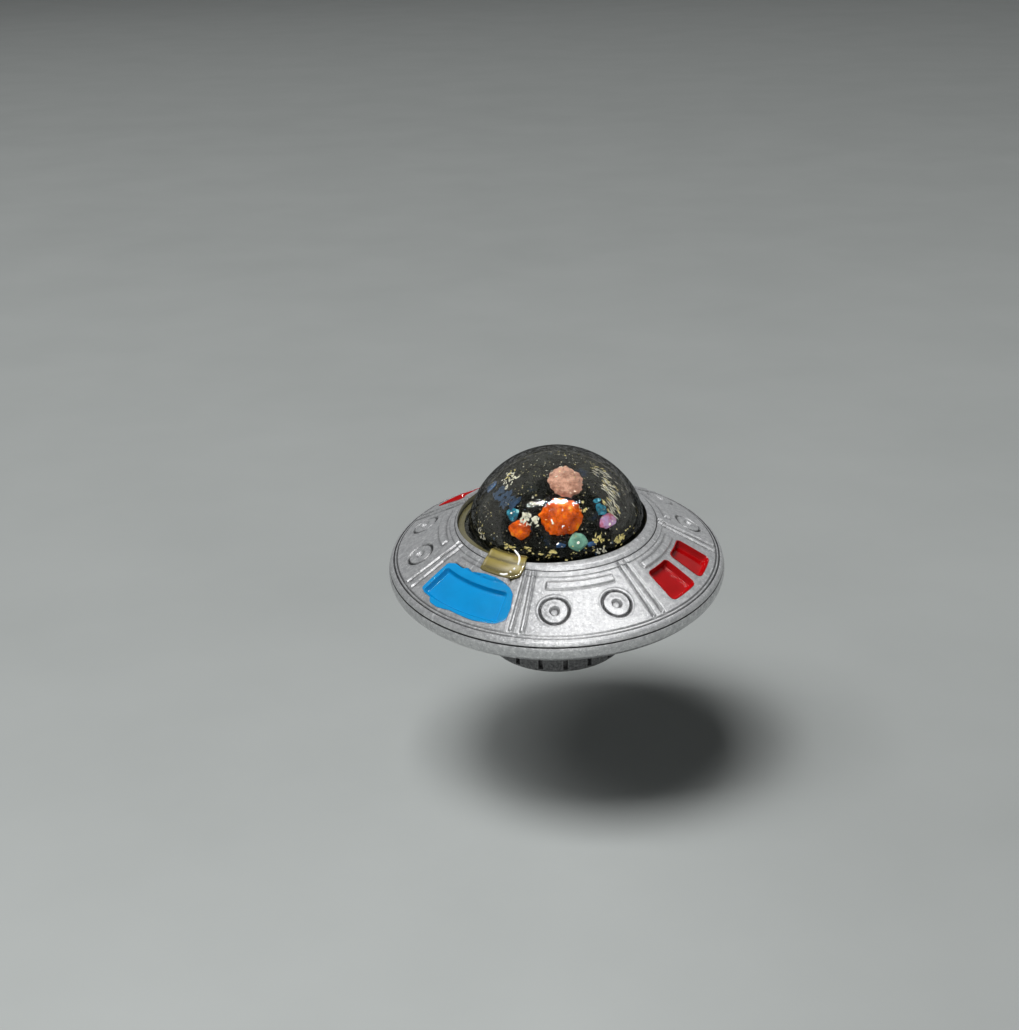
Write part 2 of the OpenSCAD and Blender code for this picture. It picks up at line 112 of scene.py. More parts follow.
# Pattern of the deck: seven equal sectors
SECTORS = 7
SECTOR = 360 / SECTORS
BLUE_AZIMUTH = -39.8
PORTHOLE_SECTORS = (1, 3, 6)
RED_SECTORS = (2, 4, 5)
RELIEF = 0.3
RIB_ANGLE = 2
RIB_W = 0.6
RIB_SPAN = (17.98, 28.2)
RIB_EDGE = 0.16
BAR_SPAN = (19.55, 20.8)
BAR_ANGLE = 16.7
BAR_R = 20.2
BAR_EDGE = 0.22
PORTHOLE_ROW_R = 24.4
PORTHOLE_ANGLE = 12.6
PORTHOLE_R = 2.7
PORTHOLE_GROOVE_W = 0.55
DISH_R = 1.9
DIMPLE_R = 0.95
PANEL_R = 24.4
RED_ANGLE = 9.6
RED_HALF_ANGLE = 7.5
RED_SPAN = (21.5, 27.35)
RED_DEPTH = 1.1
RED_CORNER = 0.9
BLUE_SHIFT = 0.3
BLUE_HALF_ANGLE = 18.2
BLUE_SPAN = (22.0, 27.3)
BLUE_DEPTH = 0.8
BLUE_CORNER = 0.7
TRAY_WALL = 0.3
LIP = 0.07

# Canopy and core
CANOPY_Z = node_bottom("canopy")
DOME_TOP_Z = node_top("canopy")
DOME_Z = CANOPY_Z + 0.28
DOME_R = 15.6
DOME_H = DOME_TOP_Z - DOME_Z
DOME_WALL = 0.9
DOME_POWER = 1.08
DOME_AXIS = np.array([0.2, 0.0, 0.0])
FOOT_AXIS = np.array([-0.15, 0.0, 0.0])
FOOT_R = 16.15
FOOT_H = 0.5
LIP_AXIS = np.array([-0.95, -0.1, 0.0])
LIP_R = 16.4
LIP_RISE = 0.5
LIP_RISE_AZIMUTH = -48
LIP_RISE_SPREAD = 24.0
CORE_GAP = 0.25
CORE_R = DOME_R - DOME_WALL - CORE_GAP
CORE_H = DOME_H - DOME_WALL - CORE_GAP

# Lift tab of the canopy: (radius, height) along its underside, its outline as (across, outwards), its two
# ridges as (place outwards, width), and its rounded edge as (inset, height)
TAB_AZIMUTH = -31
TAB_MIDDLE_R = 17.5
TAB_UNDERSIDE = [(15.0, 24.78), (16.6, 24.78), (17.2, 24.5), (17.95, 23.98), (18.6, 23.45), (19.35, 23.0),
                 (20.3, 22.66)]
TAB_CORNERS = [(-3.4, -1.9), (4.1, -1.9), (4.2, 0.4), (3.8, 1.9), (2.6, 2.6), (-2.5, 2.5), (-3.1, 2.2)]
TAB_RIDGES = ((-0.75, 0.4), (1.0, 0.45))
TAB_EDGE = [(0.42, 0.29), (0.3, 0.33), (0.18, 0.33), (0.07, 0.26), (0.0, 0.14), (0.0, 0.06), (0.08, 0.0),
            (0.4, 0.0)]
BEAD_R = 0.17
BEAD_STEP = 0.12

# Hub
HUB_R = node_half_width("grip_hub")
HUB_H = node_top("grip_hub")
HUB_SLOTS = 18
SLOT_AZIMUTH = -13.7
SLOT_W = 0.7
SLOT_DEPTH = 1
SLOT_SPAN = (0.5, 3.2)

# Studio: the floor is below the hub and leans away, because the toy hovers in the photograph
FLOOR_DROP = 25.0
FLOOR_TILT = 7.0
FLOOR_HALF = 4000
CAMERA_ELEVATION = 30.08
CAMERA_DISTANCE = 300.0
CAMERA_LENS = 58.3
CAMERA_AIM = (0.0280, -0.0282)
CAMERA_ROLL = -0.78


def deck_z(r):
    """Height of the deck: a cone, very slightly crowned between the collar and the rim's groove."""
    middle, half = (COLLAR_R + GROOVE_R) / 2, (GROOVE_R - COLLAR_R) / 2
    crown = DECK_CROWN * np.maximum(1 - ((r - middle) / half) ** 2, 0)
    return RIM_Z + DECK_RISE + (GROOVE_R - r) * DECK_SLOPE + crown


# ---------------------------------------------------------------- mesh helpers

def rounded_line(points, closed=False, arc_steps=5):
    """Outline through (r, z, fillet) points, each corner rounded by its fillet radius."""
    count = len(points)
    line = []
    for i, (r, z, fillet) in enumerate(points):
        here = np.array([r, z])
        at_end = not closed and i in (0, count - 1)
        if fillet <= 0 or at_end:
            line.append(here)
            continue
        before = np.array(points[i - 1][:2]) - here
        after = np.array(points[(i + 1) % count][:2]) - here
        long_before, long_after = np.linalg.norm(before), np.linalg.norm(after)
        before, after = before / long_before, after / long_after
        half = math.acos(max(-1, min(1, float(before @ after)))) / 2
        reach = min(fillet / math.tan(half), 0.48 * long_before, 0.48 * long_after)
        radius = reach * math.tan(half)
        middle = (before + after) / np.linalg.norm(before + after)
        centre = here + middle * radius / math.sin(half)
        start, end = here + before * reach - centre, here + after * reach - centre
        turn = math.atan2(start[0] * end[1] - start[1] * end[0], float(start @ end))
        for step in range(arc_steps + 1):
            a = turn * step / arc_steps
            line.append(centre + [start[0] * math.cos(a) - start[1] * math.sin(a),
                                  start[0] * math.sin(a) + start[1] * math.cos(a)])
    return np.array(line)


def subdivided(line, step_at, closed=False):
    """The same line with extra points, so that no step is longer than step_at(middle of the step)."""
    points = []
    ends = np.roll(line, -1, axis=0) if closed else line[1:]
    for a, b in zip(line, ends):
        pieces = max(1, math.ceil(np.linalg.norm(b - a) / step_at((a + b) / 2) - 1e-6))
        points += [a + (b - a) * k / pieces for k in range(pieces)]
    if not closed:
        points.append(line[-1])
    return np.array(points)


def smooth_with_edges(piece, angle):
    piece.data.shade_smooth()
    piece.data.set_sharp_from_angle(angle=math.radians(angle))


def make_object(name, verts, faces, smooth_angle=35.0):
    mesh = bpy.data.meshes.new(name)
    mesh.from_pydata((np.asarray(verts) * MM).tolist(), [], faces)
    mesh.update()
    cleaner = bmesh.new()
    cleaner.from_mesh(mesh)
    bmesh.ops.recalc_face_normals(cleaner, faces=cleaner.faces)
    cleaner.to_mesh(mesh)
    cleaner.free()
    piece = bpy.data.objects.new(name, mesh)
    smooth_with_edges(piece, smooth_angle)
    bpy.context.collection.objects.link(piece)
    return piece


def joined(solids):
    """Verts and faces of separate solids as those of one mesh."""
    verts, faces, first = [], [], 0
    for solid_verts, solid_faces in solids:
        faces += [tuple(first + i for i in face) for face in solid_faces]
        verts.append(solid_verts)
        first += len(solid_verts)
    return np.vstack(verts), faces


def grid_faces(rows, cols, rows_closed=False):
    """Quads of a grid whose columns close round the axis."""
    faces = []
    for i in range(rows if rows_closed else rows - 1):
        a, b = i * cols, (i + 1) % rows * cols
        faces += [(a + j, a + (j + 1) % cols, b + (j + 1) % cols, b + j) for j in range(cols)]
    return faces


def grid_object(name, points, rows_closed=False, start_cap=None, end_cap=None, **kwargs):
    """Object from points[row, column, xyz]; a cap is the point that closes the first or last row."""
    rows, cols = points.shape[:2]
    verts = points.reshape(-1, 3)
    faces = grid_faces(rows, cols, rows_closed)
    for cap, row in ((start_cap, 0), (end_cap, rows - 1)):
        if cap is not None:
            verts = np.vstack([verts, cap])
            hub = len(verts) - 1
            faces += [(row * cols + j, row * cols + (j + 1) % cols, hub) for j in range(cols)]
    return make_object(name, verts, faces, **kwargs)


def polar(r, azimuth, z):
    """Points at radius, azimuth in degrees and height."""
    a = np.radians(azimuth)
    r, a, z = np.broadcast_arrays(r, a, z)
    return np.stack([r * np.sin(a), -r * np.cos(a), z], axis=-1)


def lathe(name, points, segments=360, step=0.6):
    """Closed (r, z, fillet) outline turned round the axis."""
    line = subdivided(rounded_line(points, closed=True), lambda _: step, closed=True)
    azimuth = np.arange(segments) * 360 / segments
    return grid_object(name, polar(line[:, :1], azimuth[None, :], line[:, 1:]), rows_closed=True)


def smooth_ramp(d, width):
    """0 outside an outline (d above 0) and 1 from width inside it."""
    t = np.clip(-d / width, 0, 1)
    return t * t * (3 - 2 * t)


def hump(d, centre, width):
    """Bell of height 1 at centre."""
    return np.exp(-((d - centre) / width) ** 2)


def box_distance(x, y, half_x, half_y, corner):
    """Signed distance to a rounded box, negative inside."""
    qx, qy = np.abs(x) - half_x + corner, np.abs(y) - half_y + corner
    outside = np.hypot(np.maximum(qx, 0), np.maximum(qy, 0))
    return outside + np.minimum(np.maximum(qx, qy), 0) - corner


# ---------------------------------------------------------------- upper shell

def up_deck(r):
    """Distance up or down the deck's slope from the panels' row, for a radius."""
    return (r - PANEL_R) / math.cos(DECK_ANGLE)


def span_box(span):
    """Middle and half length of a span of radii, measured along the deck."""
    return up_deck((span[0] + span[1]) / 2), (span[1] - span[0]) / 2 / math.cos(DECK_ANGLE)


def recess_distance(r, local, shift, half_angle, span, corner):
    middle, half = span_box(span)
    x = PANEL_R * np.radians(local - shift)
    return box_distance(x, up_deck(r) - middle, PANEL_R * math.radians(half_angle), half, corner)


def deck_distances(r, azimuth):
    """Signed distances to the outlines of the ribs, bars, portholes and recesses of the deck."""
    turns = np.round((azimuth - BLUE_AZIMUTH) / SECTOR)
    local = azimuth - BLUE_AZIMUTH - turns * SECTOR
    sector = np.mod(turns, SECTORS).astype(int)
    side = np.abs(local)
    far = np.full(np.broadcast(r, azimuth).shape, 9.0)
    middle, half = span_box(RIB_SPAN)
    across = r * np.radians(side - (SECTOR / 2 - RIB_ANGLE))
    rib = box_distance(across, up_deck(r) - middle, RIB_W / 2, half, 0.05)
    middle, half = span_box(BAR_SPAN)
    across = BAR_R * np.radians(local)
    bar = box_distance(across, up_deck(r) - middle, BAR_R * math.radians(BAR_ANGLE), half, 0.3)
    port = np.hypot(up_deck(r) - up_deck(PORTHOLE_ROW_R), r * np.radians(side - PORTHOLE_ANGLE))
    port = np.where(np.isin(sector, PORTHOLE_SECTORS), port, far)
    red = recess_distance(r, side, RED_ANGLE, RED_HALF_ANGLE, RED_SPAN, RED_CORNER)
    red = np.where(np.isin(sector, RED_SECTORS), red, far)
    blue = recess_distance(r, local, BLUE_SHIFT, BLUE_HALF_ANGLE, BLUE_SPAN, BLUE_CORNER)
    blue = np.where(sector == 0, blue, far)
    return rib, bar, port, np.minimum(red, blue) + LIP


def crisp_distance(r, azimuth):
    """Signed distance to the nearest outline that the grid's points are moved onto."""
    rib, bar, port, recess = deck_distances(r, azimuth)
    rings = [port - PORTHOLE_R, port - PORTHOLE_R + PORTHOLE_GROOVE_W, port - DIMPLE_R]
    edges = np.stack([rib, bar, *rings, recess])
    nearest = np.argmin(np.abs(edges), axis=0)
    return np.take_along_axis(edges, nearest[None], axis=0)[0]


def snapped(r, azimuth):
    """Deck points near an outline slide onto it, so that the relief's edges are crisp and not stepped."""
    for _ in range(2):
        turn = np.degrees(SNAP_PROBE / r)
        d = crisp_distance(r, azimuth)
        ahead, behind = crisp_distance(r + SNAP_PROBE, azimuth), crisp_distance(r - SNAP_PROBE, azimuth)
        slope_r = (ahead - behind) / (2 * SNAP_PROBE)
        ahead, behind = crisp_distance(r, azimuth + turn), crisp_distance(r, azimuth - turn)
        slope_a = (ahead - behind) / (2 * SNAP_PROBE)
        size = np.maximum(slope_r ** 2 + slope_a ** 2, 0.25)
        near = np.abs(d) < SNAP_REACH
        r = r - np.where(near, d * slope_r / size, 0)
        azimuth = azimuth - np.where(near, np.degrees(d * slope_a / size / r), 0)
    return r, azimuth


def deck_height(r, azimuth):
    """Height of the relief above the plain deck, measured square to it."""
    rib, bar, port, recess = deck_distances(r, azimuth)
    height = RELIEF * smooth_ramp(rib, RIB_EDGE) - 0.09 * hump(rib, 0.1, 0.13)
    height += RELIEF * smooth_ramp(bar, BAR_EDGE) - 0.1 * hump(bar, 0.1, 0.13)
    groove = np.abs(port - (PORTHOLE_R - PORTHOLE_GROOVE_W / 2)) - PORTHOLE_GROOVE_W / 2
    height -= 0.42 * smooth_ramp(groove, 0.2)
    height += 0.1 * hump(port, PORTHOLE_R + 0.22, 0.14)
    height += 0.08 * smooth_ramp(port - DISH_R, 0.7)
    height -= 0.75 * smooth_ramp(port - DIMPLE_R, 0.4)
    return height - (RED_DEPTH + TRAY_WALL + 0.12) * smooth_ramp(recess, 0.12)


def reach_to_foot(azimuth, gap, axis):
    """Distance from an axis to the canopy's edge: the foot's circle joined with the offset lip's circle."""
    a = np.radians(azimuth)
    reach = []
    for centre, radius in ((FOOT_AXIS, FOOT_R + gap), (LIP_AXIS, LIP_R + gap)):
        x, y, _ = centre - axis
        along = x * np.sin(a) - y * np.cos(a)
        reach.append(along + np.sqrt(radius ** 2 - x * x - y * y + along ** 2))
    return np.maximum(*reach)


def upper_outline():
    """Closed (r, z, fillet) section: collar, step, deck, double groove, rim bead, underside and shelf."""
    inner_top_r = GROOVE_R - (SHELF_TOP_Z - SHELF_H + 2.3 - RIM_Z - DECK_RISE) / DECK_SLOPE
    z = deck_z
    return [
        (COLLAR_TOP_R, COLLAR_TOP_Z, 0.16), (COLLAR_R - 0.5, z(COLLAR_R) + 0.78, 0.5),
        (COLLAR_R - 0.06, z(COLLAR_R) + 0.2, 0.12), (COLLAR_R, z(COLLAR_R) - 0.18, 0.05),
        (COLLAR_R + 0.09, z(COLLAR_R + 0.09) + 0.14, 0.06), (STEP_R - 0.06, z(STEP_R) + 0.17, 0.05),
        (STEP_R, z(STEP_R) - 0.05, 0.03), (STEP_R + 0.12, z(STEP_R + 0.12), 0.05),
        (GROOVE_R - 0.16, z(GROOVE_R - 0.16), 0.08), (GROOVE_R, z(GROOVE_R) - 0.26, 0.05),
        (GROOVE_R + 0.16, z(GROOVE_R + 0.16) + 0.02, 0.1),
        (OUTER_GROOVE_R - 0.16, z(OUTER_GROOVE_R - 0.16), 0.1),
        (OUTER_GROOVE_R, z(OUTER_GROOVE_R) - 0.3, 0.05), (OUTER_GROOVE_R + 0.2, PARTING_Z + 1.42, 0.16),
        (RIM_R - 0.42, PARTING_Z + 0.9, 0.5), (RIM_R - 0.16, PARTING_Z + 0.22, 0.18),
        (RIM_R - 0.42, PARTING_Z, 0.06), (RIM_INSIDE_R + 0.2, PARTING_Z, 0.1),
        (inner_top_r, SHELF_TOP_Z - SHELF_H, 0.4), (SHELF_R, SHELF_TOP_Z - SHELF_H, 0.1),
        (SHELF_R, SHELF_TOP_Z, 0.1), (FOOT_R + 0.1, SHELF_TOP_Z, 0.1), (FOOT_R + 0.1, COLLAR_TOP_Z, 0.08)]


def upper_shell():
    """Turned shell whose deck carries the relief and whose collar opens to the canopy's foot and lip."""

    def step_at(point):
        if COLLAR_R + 0.2 < point[0] < GROOVE_R and point[1] > deck_z(point[0]) - 0.5:
            return 0.125
        return 0.5 if point[1] > PARTING_Z + 0.2 else 2.5

    line = subdivided(rounded_line(upper_outline(), closed=True, arc_steps=4), step_at, closed=True)
    ahead = np.roll(line, -1, axis=0) - np.roll(line, 1, axis=0)
    normal = np.stack([-ahead[:, 1], ahead[:, 0]], axis=1) / np.linalg.norm(ahead, axis=1)[:, None]
    off_deck = np.abs(line[:, 1] - deck_z(line[:, 0]))
    deck = (line[:, 0] > COLLAR_R + 0.2) & (line[:, 0] < GROOVE_R) & (off_deck < 0.2)
    r = np.repeat(line[:, :1], DECK_COLUMNS, axis=1)
    z = np.repeat(line[:, 1:], DECK_COLUMNS, axis=1)
    azimuth = np.repeat(np.arange(DECK_COLUMNS)[None, :] * 360.0 / DECK_COLUMNS, len(line), axis=0)

    flat = deck & (line[:, 0] > STEP_R + 0.15) & (line[:, 0] < GROOVE_R - 0.3)
    new_r, new_azimuth = snapped(r[flat], azimuth[flat])
    z[flat] -= (new_r - r[flat]) * DECK_SLOPE
    r[flat], azimuth[flat] = new_r, new_azimuth
    height = np.zeros_like(r)
    height[deck] = deck_height(r[deck], azimuth[deck])

    # The collar's inner edge follows the canopy's offset lip
    inner = (line[:, 0] < COLLAR_R - 0.05) & (line[:, 1] > CANOPY_Z - 0.8)
    stretch = (COLLAR_R - r[inner]) / (COLLAR_R - FOOT_R - 0.1)
    r[inner] = COLLAR_R - (COLLAR_R - reach_to_foot(azimuth[inner], 0.1, np.zeros(3))) * stretch
    crest = line[(line[:, 0] < COLLAR_R) & (line[:, 0] > COLLAR_TOP_R) & (line[:, 1] > deck_z(COLLAR_R))]
    crest = crest[np.argsort(crest[:, 0])]
    z[inner] = np.minimum(z[inner], np.interp(r[inner], crest[:, 0], crest[:, 1]))

    deck_normal = np.array([math.sin(DECK_ANGLE), math.cos(DECK_ANGLE)])
    lift = np.where(deck[:, None], deck_normal[None, :], normal)
    grid = polar(r + height * lift[:, :1], azimuth, z + height * lift[:, 1:])
    return grid_object("saucer_deck", grid, rows_closed=True, smooth_angle=50)


# ---------------------------------------------------------------- lower shell and hub

def screw_boxes(node):
    """Boxes of the separate solids of a node, in millimetres, found by azimuth about the axis."""
    co = np.array([v.co for v in frame["nodes"][node].data.vertices]) / MM
    azimuth = np.degrees(np.arctan2(co[:, 0], -co[:, 1]))
    order = np.argsort(azimuth)
    groups = np.split(order, np.flatnonzero(np.diff(azimuth[order]) > 40) + 1)
    if len(groups) > 3:
        groups = [np.concatenate([groups[0], groups[-1]])] + groups[1:-1]
    return [(co[g].min(axis=0), co[g].max(axis=0)) for g in groups]


def lathe_at(name, centre, points):
    """Solid turned round a vertical axis through centre, from an outline that starts and ends on the axis."""
    line = rounded_line(points)
    offset = np.array([centre[0], centre[1], 0])
    grid = polar(line[1:-1, :1], np.arange(48)[None, :] * 7.5, line[1:-1, 1:]) + offset
    start, end = (np.array([0, 0, line[k, 1]]) + offset for k in (0, -1))
    return grid_object(name, grid, start_cap=start, end_cap=end)


def cut_away(piece, cutter):
    """Takes the cutter's solid out of the piece for good, and deletes the cutter."""
    cut = piece.modifiers.new("cut", "BOOLEAN")
    cut.operation = "DIFFERENCE"
    cut.object = cutter
    cut.solver = "EXACT"
    whole = piece.data
    piece.data = bpy.data.meshes.new_from_object(piece.evaluated_get(bpy.context.evaluated_depsgraph_get()))
    piece.modifiers.clear()
    bpy.data.meshes.remove(whole)
    bpy.data.objects.remove(cutter, do_unlink=True)


def lower_shell():
    """Turned pan with a pocket round each shell screw."""
    slope = (RIM_Z - 1.9 - PAN_Z) / (PAN_EDGE_R - PAN_FLOOR_R)
    wall = PAN_WALL * math.sqrt(1 + slope * slope)
    floor_z = PAN_Z + PAN_WALL
    inside_z = PAN_Z + (RIM_INSIDE_R - PAN_FLOOR_R) * slope + wall
    pan = lathe("saucer_pan", [
        (PAN_BORE_R, PAN_Z, 0), (PAN_FLOOR_R, PAN_Z, 0.8), (PAN_EDGE_R, RIM_Z - 1.9, 1.2),
        (RIM_R - 0.22, RIM_Z - 1.15, 0.8), (RIM_R, RIM_Z - 0.3, 0.8), (RIM_R, RIM_Z + 0.3, 0.5),
        (RIM_R - 0.12, PARTING_Z - 0.05, 0.03), (RIM_INSIDE_R, PARTING_Z - 0.05, 0.05),
        (RIM_INSIDE_R, inside_z, 0.5), (13.03, floor_z, 0.5), (PAN_BORE_R, floor_z, 0)],
        segments=480, step=0.8)
    for low, high in screw_boxes("shell_screws"):
        pocket = [(0.0, -4, 0), (2.0, -4, 0), (2.0, 9.4, 0.1), (0.0, 9.4, 0)]
        cut_away(pan, lathe_at("pocket", (low + high) / 2, pocket))
    smooth_with_edges(pan, 35)
    return pan


def grip_hub():
    """Turned hub with finger slots cut in its wall."""
    outline = [(2.4, 1.4, 0.05), (2.4, 1.0, 0.1), (9.5, 1.0, 0.2), (9.5, 0, 0.15), (HUB_R - 0.15, 0, 0.15),
               (HUB_R, 0.3, 0.1), (HUB_R, HUB_H, 0.35), (1.2, HUB_H, 0.05), (1.2, 1.4, 0.05)]
    line = subdivided(rounded_line(outline, closed=True, arc_steps=4), lambda _: 1.5, closed=True)
    wall = (line[:, 0] > HUB_R - 0.02) & (line[:, 1] > 0.25) & (line[:, 1] < HUB_H - 0.3)
    first = int(np.flatnonzero(wall)[0])
    low, high = SLOT_SPAN
    rows = [(HUB_R, z) for z in (low - 0.06, low, 1.0, 1.6, 2.2, 2.8, high, high + 0.06)]
    line = np.vstack([line[~wall][:first], rows, line[~wall][first:]])
    half = math.degrees(SLOT_W / 2 / HUB_R)
    pitch = 360 / HUB_SLOTS
    between = list(np.linspace(half + 1.4, pitch - half - 1.4, 9))
    offsets = np.array([-half - 0.35, -half, 0, half, half + 0.35] + between)
    azimuth = np.concatenate([SLOT_AZIMUTH + k * pitch + offsets for k in range(HUB_SLOTS)])
    in_slot = np.tile(np.abs(offsets) <= half + 1e-6, HUB_SLOTS)
    in_rows = (line[:, 0] > HUB_R - 0.02) & (line[:, 1] >= low) & (line[:, 1] <= high)
    r = np.repeat(line[:, :1], len(azimuth), axis=1)
    r[np.ix_(in_rows, in_slot)] = HUB_R - SLOT_DEPTH
    grid = polar(r, azimuth[None, :], line[:, 1:])
    return grid_object("slotted_hub", grid, rows_closed=True, smooth_angle=30)


# ---------------------------------------------------------------- enamel panels

def at_even_angles(angle, reach):
    return np.stack([reach * np.cos(angle), reach * np.sin(angle)], axis=1)


def sector_loop(half_x, half_y, corner, count=160):
    """Rounded box outline, its points at even angles about its centre."""
    angle = np.arange(count) * 2 * math.pi / count
    reach = np.full(count, max(half_x, half_y) * 1.5)
    for _ in range(40):
        reach = reach - box_distance(reach * np.cos(angle), reach * np.sin(angle), half_x, half_y, corner)
    return at_even_angles(angle, reach)


def polygon_loop(points, fillet, count=160):
    """Outline through given corners, rounded, its points at even angles about the origin."""
    line = rounded_line([(x, y, fillet) for x, y in points], closed=True, arc_steps=8)
    line = subdivided(line, lambda _: 0.05, closed=True)
    angle = np.unwrap(np.arctan2(line[:, 1], line[:, 0]))
    if angle[-1] < angle[0]:
        line, angle = line[::-1], angle[::-1]
    reach = np.hypot(line[:, 0], line[:, 1])
    wanted = np.arange(count) * 2 * math.pi / count
    spread = np.concatenate([angle - 2 * math.pi, angle, angle + 2 * math.pi])
    return at_even_angles(wanted, np.interp(wanted, spread, np.tile(reach, 3)))


def stacked(name, rings, place, smooth_angle=40):
    """Closed solid through rings of (outline, height), from the middle of its top to the middle below."""
    points = np.stack([place(loop[:, 0], loop[:, 1], height) for loop, height in rings])
    start, end = (place(np.zeros(1), np.zeros(1), rings[k][1])[0] for k in (0, -1))
    return grid_object(name, points, start_cap=start, end_cap=end, smooth_angle=smooth_angle)


def on_deck_place(azimuth, middle_r):
    """Maps (across, up-slope distance, height) near a point of the deck to space."""
    def place(x, y, height):
        r = middle_r + y * math.cos(DECK_ANGLE)
        a = azimuth + np.degrees(x / PANEL_R)
        return polar(r + height * math.sin(DECK_ANGLE), a, deck_z(r) + height * math.cos(DECK_ANGLE))
    return place


def relief_below(loop, azimuth, middle_r):
    """Height of the ribs and bars under an outline near a point of the deck."""
    r = middle_r + loop[:, 1] * math.cos(DECK_ANGLE)
    rib, bar, _, _ = deck_distances(r, azimuth + np.degrees(loop[:, 0] / PANEL_R))
    return RELIEF * np.maximum(smooth_ramp(rib, RIB_EDGE), smooth_ramp(bar, BAR_EDGE))


def enamel_tray(name, azimuth, half_angle, span, depth, corner, border=None):
    """Enamel lining of a recess: a thin lip on the deck, sloping walls and a floor with a soft meniscus."""
    half_x = PANEL_R * math.radians(half_angle)
    half_y = span_box(span)[1]
    middle_r = (span[0] + span[1]) / 2

    def loop(inset):
        return sector_loop(half_x - inset, half_y - inset, max(corner - inset, 0.25))

    floor, outer = loop(0.8), loop(0.0)
    rings = [(floor * k, -depth - 0.02 + 0.03 * k) for k in (0.25, 0.5, 0.75, 0.92)]
    rings += [(floor, -depth + 0.02), (loop(0.62), -depth + 0.05), (loop(0.52), -depth + 0.12),
              (loop(0.45), -depth + 0.24), (loop(0.22), -0.2), (loop(0.16), -0.03), (loop(0.11), 0.035)]
    if border is None:
        rings += [(loop(0.05), 0.045), (outer, 0.02), (outer, -0.12)]
    else:
        edge = loop(0.04)
        brushed = [edge + (border * 0.985 - edge) * k for k in (0.0, 0.3, 0.5, 0.65, 0.8, 0.9, 1.0)]
        rings += [(ring, relief_below(ring, azimuth, middle_r) + 0.06) for ring in brushed]
        rings += [(border, relief_below(border, azimuth, middle_r) + 0.03), (border, -0.08), (outer, -0.12)]
    rings += [(loop(0.11), -0.2), (loop(0.16), -0.4), (loop(0.5), -depth - 0.2)]
    rings += [(loop(0.7), -depth - TRAY_WALL), (floor * 0.5, -depth - TRAY_WALL)]
    return stacked(name, rings, on_deck_place(azimuth, middle_r))


def blue_border():
    """Hand-painted edge of the blue panel, as (azimuth, radius): it runs over the recess onto the deck."""
    corners = [(-59.0, 27.1), (-52.6, 27.2), (-50.5, 27.95), (-46.5, 28.05), (-41, 27.6), (-30.5, 27.8),
               (-22.2, 27.5), (-18.6, 26.6), (-18.2, 24.5), (-19.2, 22.2), (-21.5, 21.3), (-25, 20.7),
               (-30, 20.25), (-36, 20.2), (-39.5, 20.45), (-43.5, 20.75), (-46.3, 20.5), (-50, 20.9),
               (-55.5, 20.85), (-59.6, 21.6), (-59.3, 24.5)]
    centre = BLUE_AZIMUTH + BLUE_SHIFT
    middle_r = (BLUE_SPAN[0] + BLUE_SPAN[1]) / 2
    points = [(PANEL_R * math.radians(a - centre), (r - middle_r) / math.cos(DECK_ANGLE)) for a, r in corners]
    return polygon_loop(points, 0.6)


# ---------------------------------------------------------------- canopy

def dome_row(tilt, radius, height, azimuth):
    """Points of a dome round the dome's own axis at one tilt."""
    t = np.radians(tilt)
    row = polar(radius * np.cos(t) ** DOME_POWER, azimuth, DOME_Z + height * np.sin(t) ** DOME_POWER)
    return row + DOME_AXIS


def edge_row(inset, z, azimuth):
    """Points round the canopy's foot and lip, at even azimuths about the dome's axis."""
    return polar(reach_to_foot(azimuth, 0, DOME_AXIS) - inset, azimuth, z) + DOME_AXIS


def canopy_shell():
    """Clear dome with a wall, standing on a flat foot that widens into the lip and rises towards the tab."""
    azimuth = np.arange(360) * 1.0
    tilts = np.concatenate([np.arange(88, 6, -2.0), [5, 3.6, 2.6]])
    rows = [dome_row(t, DOME_R, DOME_H, azimuth) for t in tilts]
    turn = (azimuth - LIP_RISE_AZIMUTH + 180) % 360 - 180
    foot_top = CANOPY_Z + FOOT_H + LIP_RISE * np.exp(-(turn / LIP_RISE_SPREAD) ** 4)
    for grow, rise in ((0.03, 0.16), (0.1, 0.06)):
        rows.append(polar(DOME_R + grow, azimuth, foot_top + rise) + DOME_AXIS)
    outer = edge_row(0.14, foot_top, azimuth)
    rows += [rows[-1] + (outer - rows[-1]) * k for k in (0.2, 0.4, 0.6, 0.8)] + [outer]
    rows += [edge_row(inset, foot_top - drop, azimuth) for inset, drop in ((0.05, 0.03), (0.0, 0.12))]
    rows += [edge_row(0.0, CANOPY_Z + 0.08, azimuth), edge_row(0.06, CANOPY_Z, azimuth)]
    inner_r, inner_h = DOME_R - DOME_WALL, DOME_H - DOME_WALL
    rows += [polar(inner_r, azimuth, CANOPY_Z) + DOME_AXIS]
    rows += [dome_row(t, inner_r, inner_h, azimuth) for t in np.arange(2, 90, 4.0)]
    top, under = (DOME_AXIS + [0, 0, DOME_Z + height] for height in (DOME_H, inner_h))
    return grid_object("canopy_shell", np.stack(rows), start_cap=top, end_cap=under)


def tab_place(x, y, height):
    """Maps (across, outwards, height) on the tab to space; two soft ridges run across its left part."""
    r = TAB_MIDDLE_R + y
    ridge = sum(hump(y, centre, width) for centre, width in TAB_RIDGES)
    ridge = 0.16 * ridge * (height > 0.2) / (1 + np.exp((x - 1.7) / 0.25))
    z = np.interp(r, *zip(*TAB_UNDERSIDE)) + height + ridge
    return polar(r, TAB_AZIMUTH + np.degrees(x / TAB_MIDDLE_R), z)


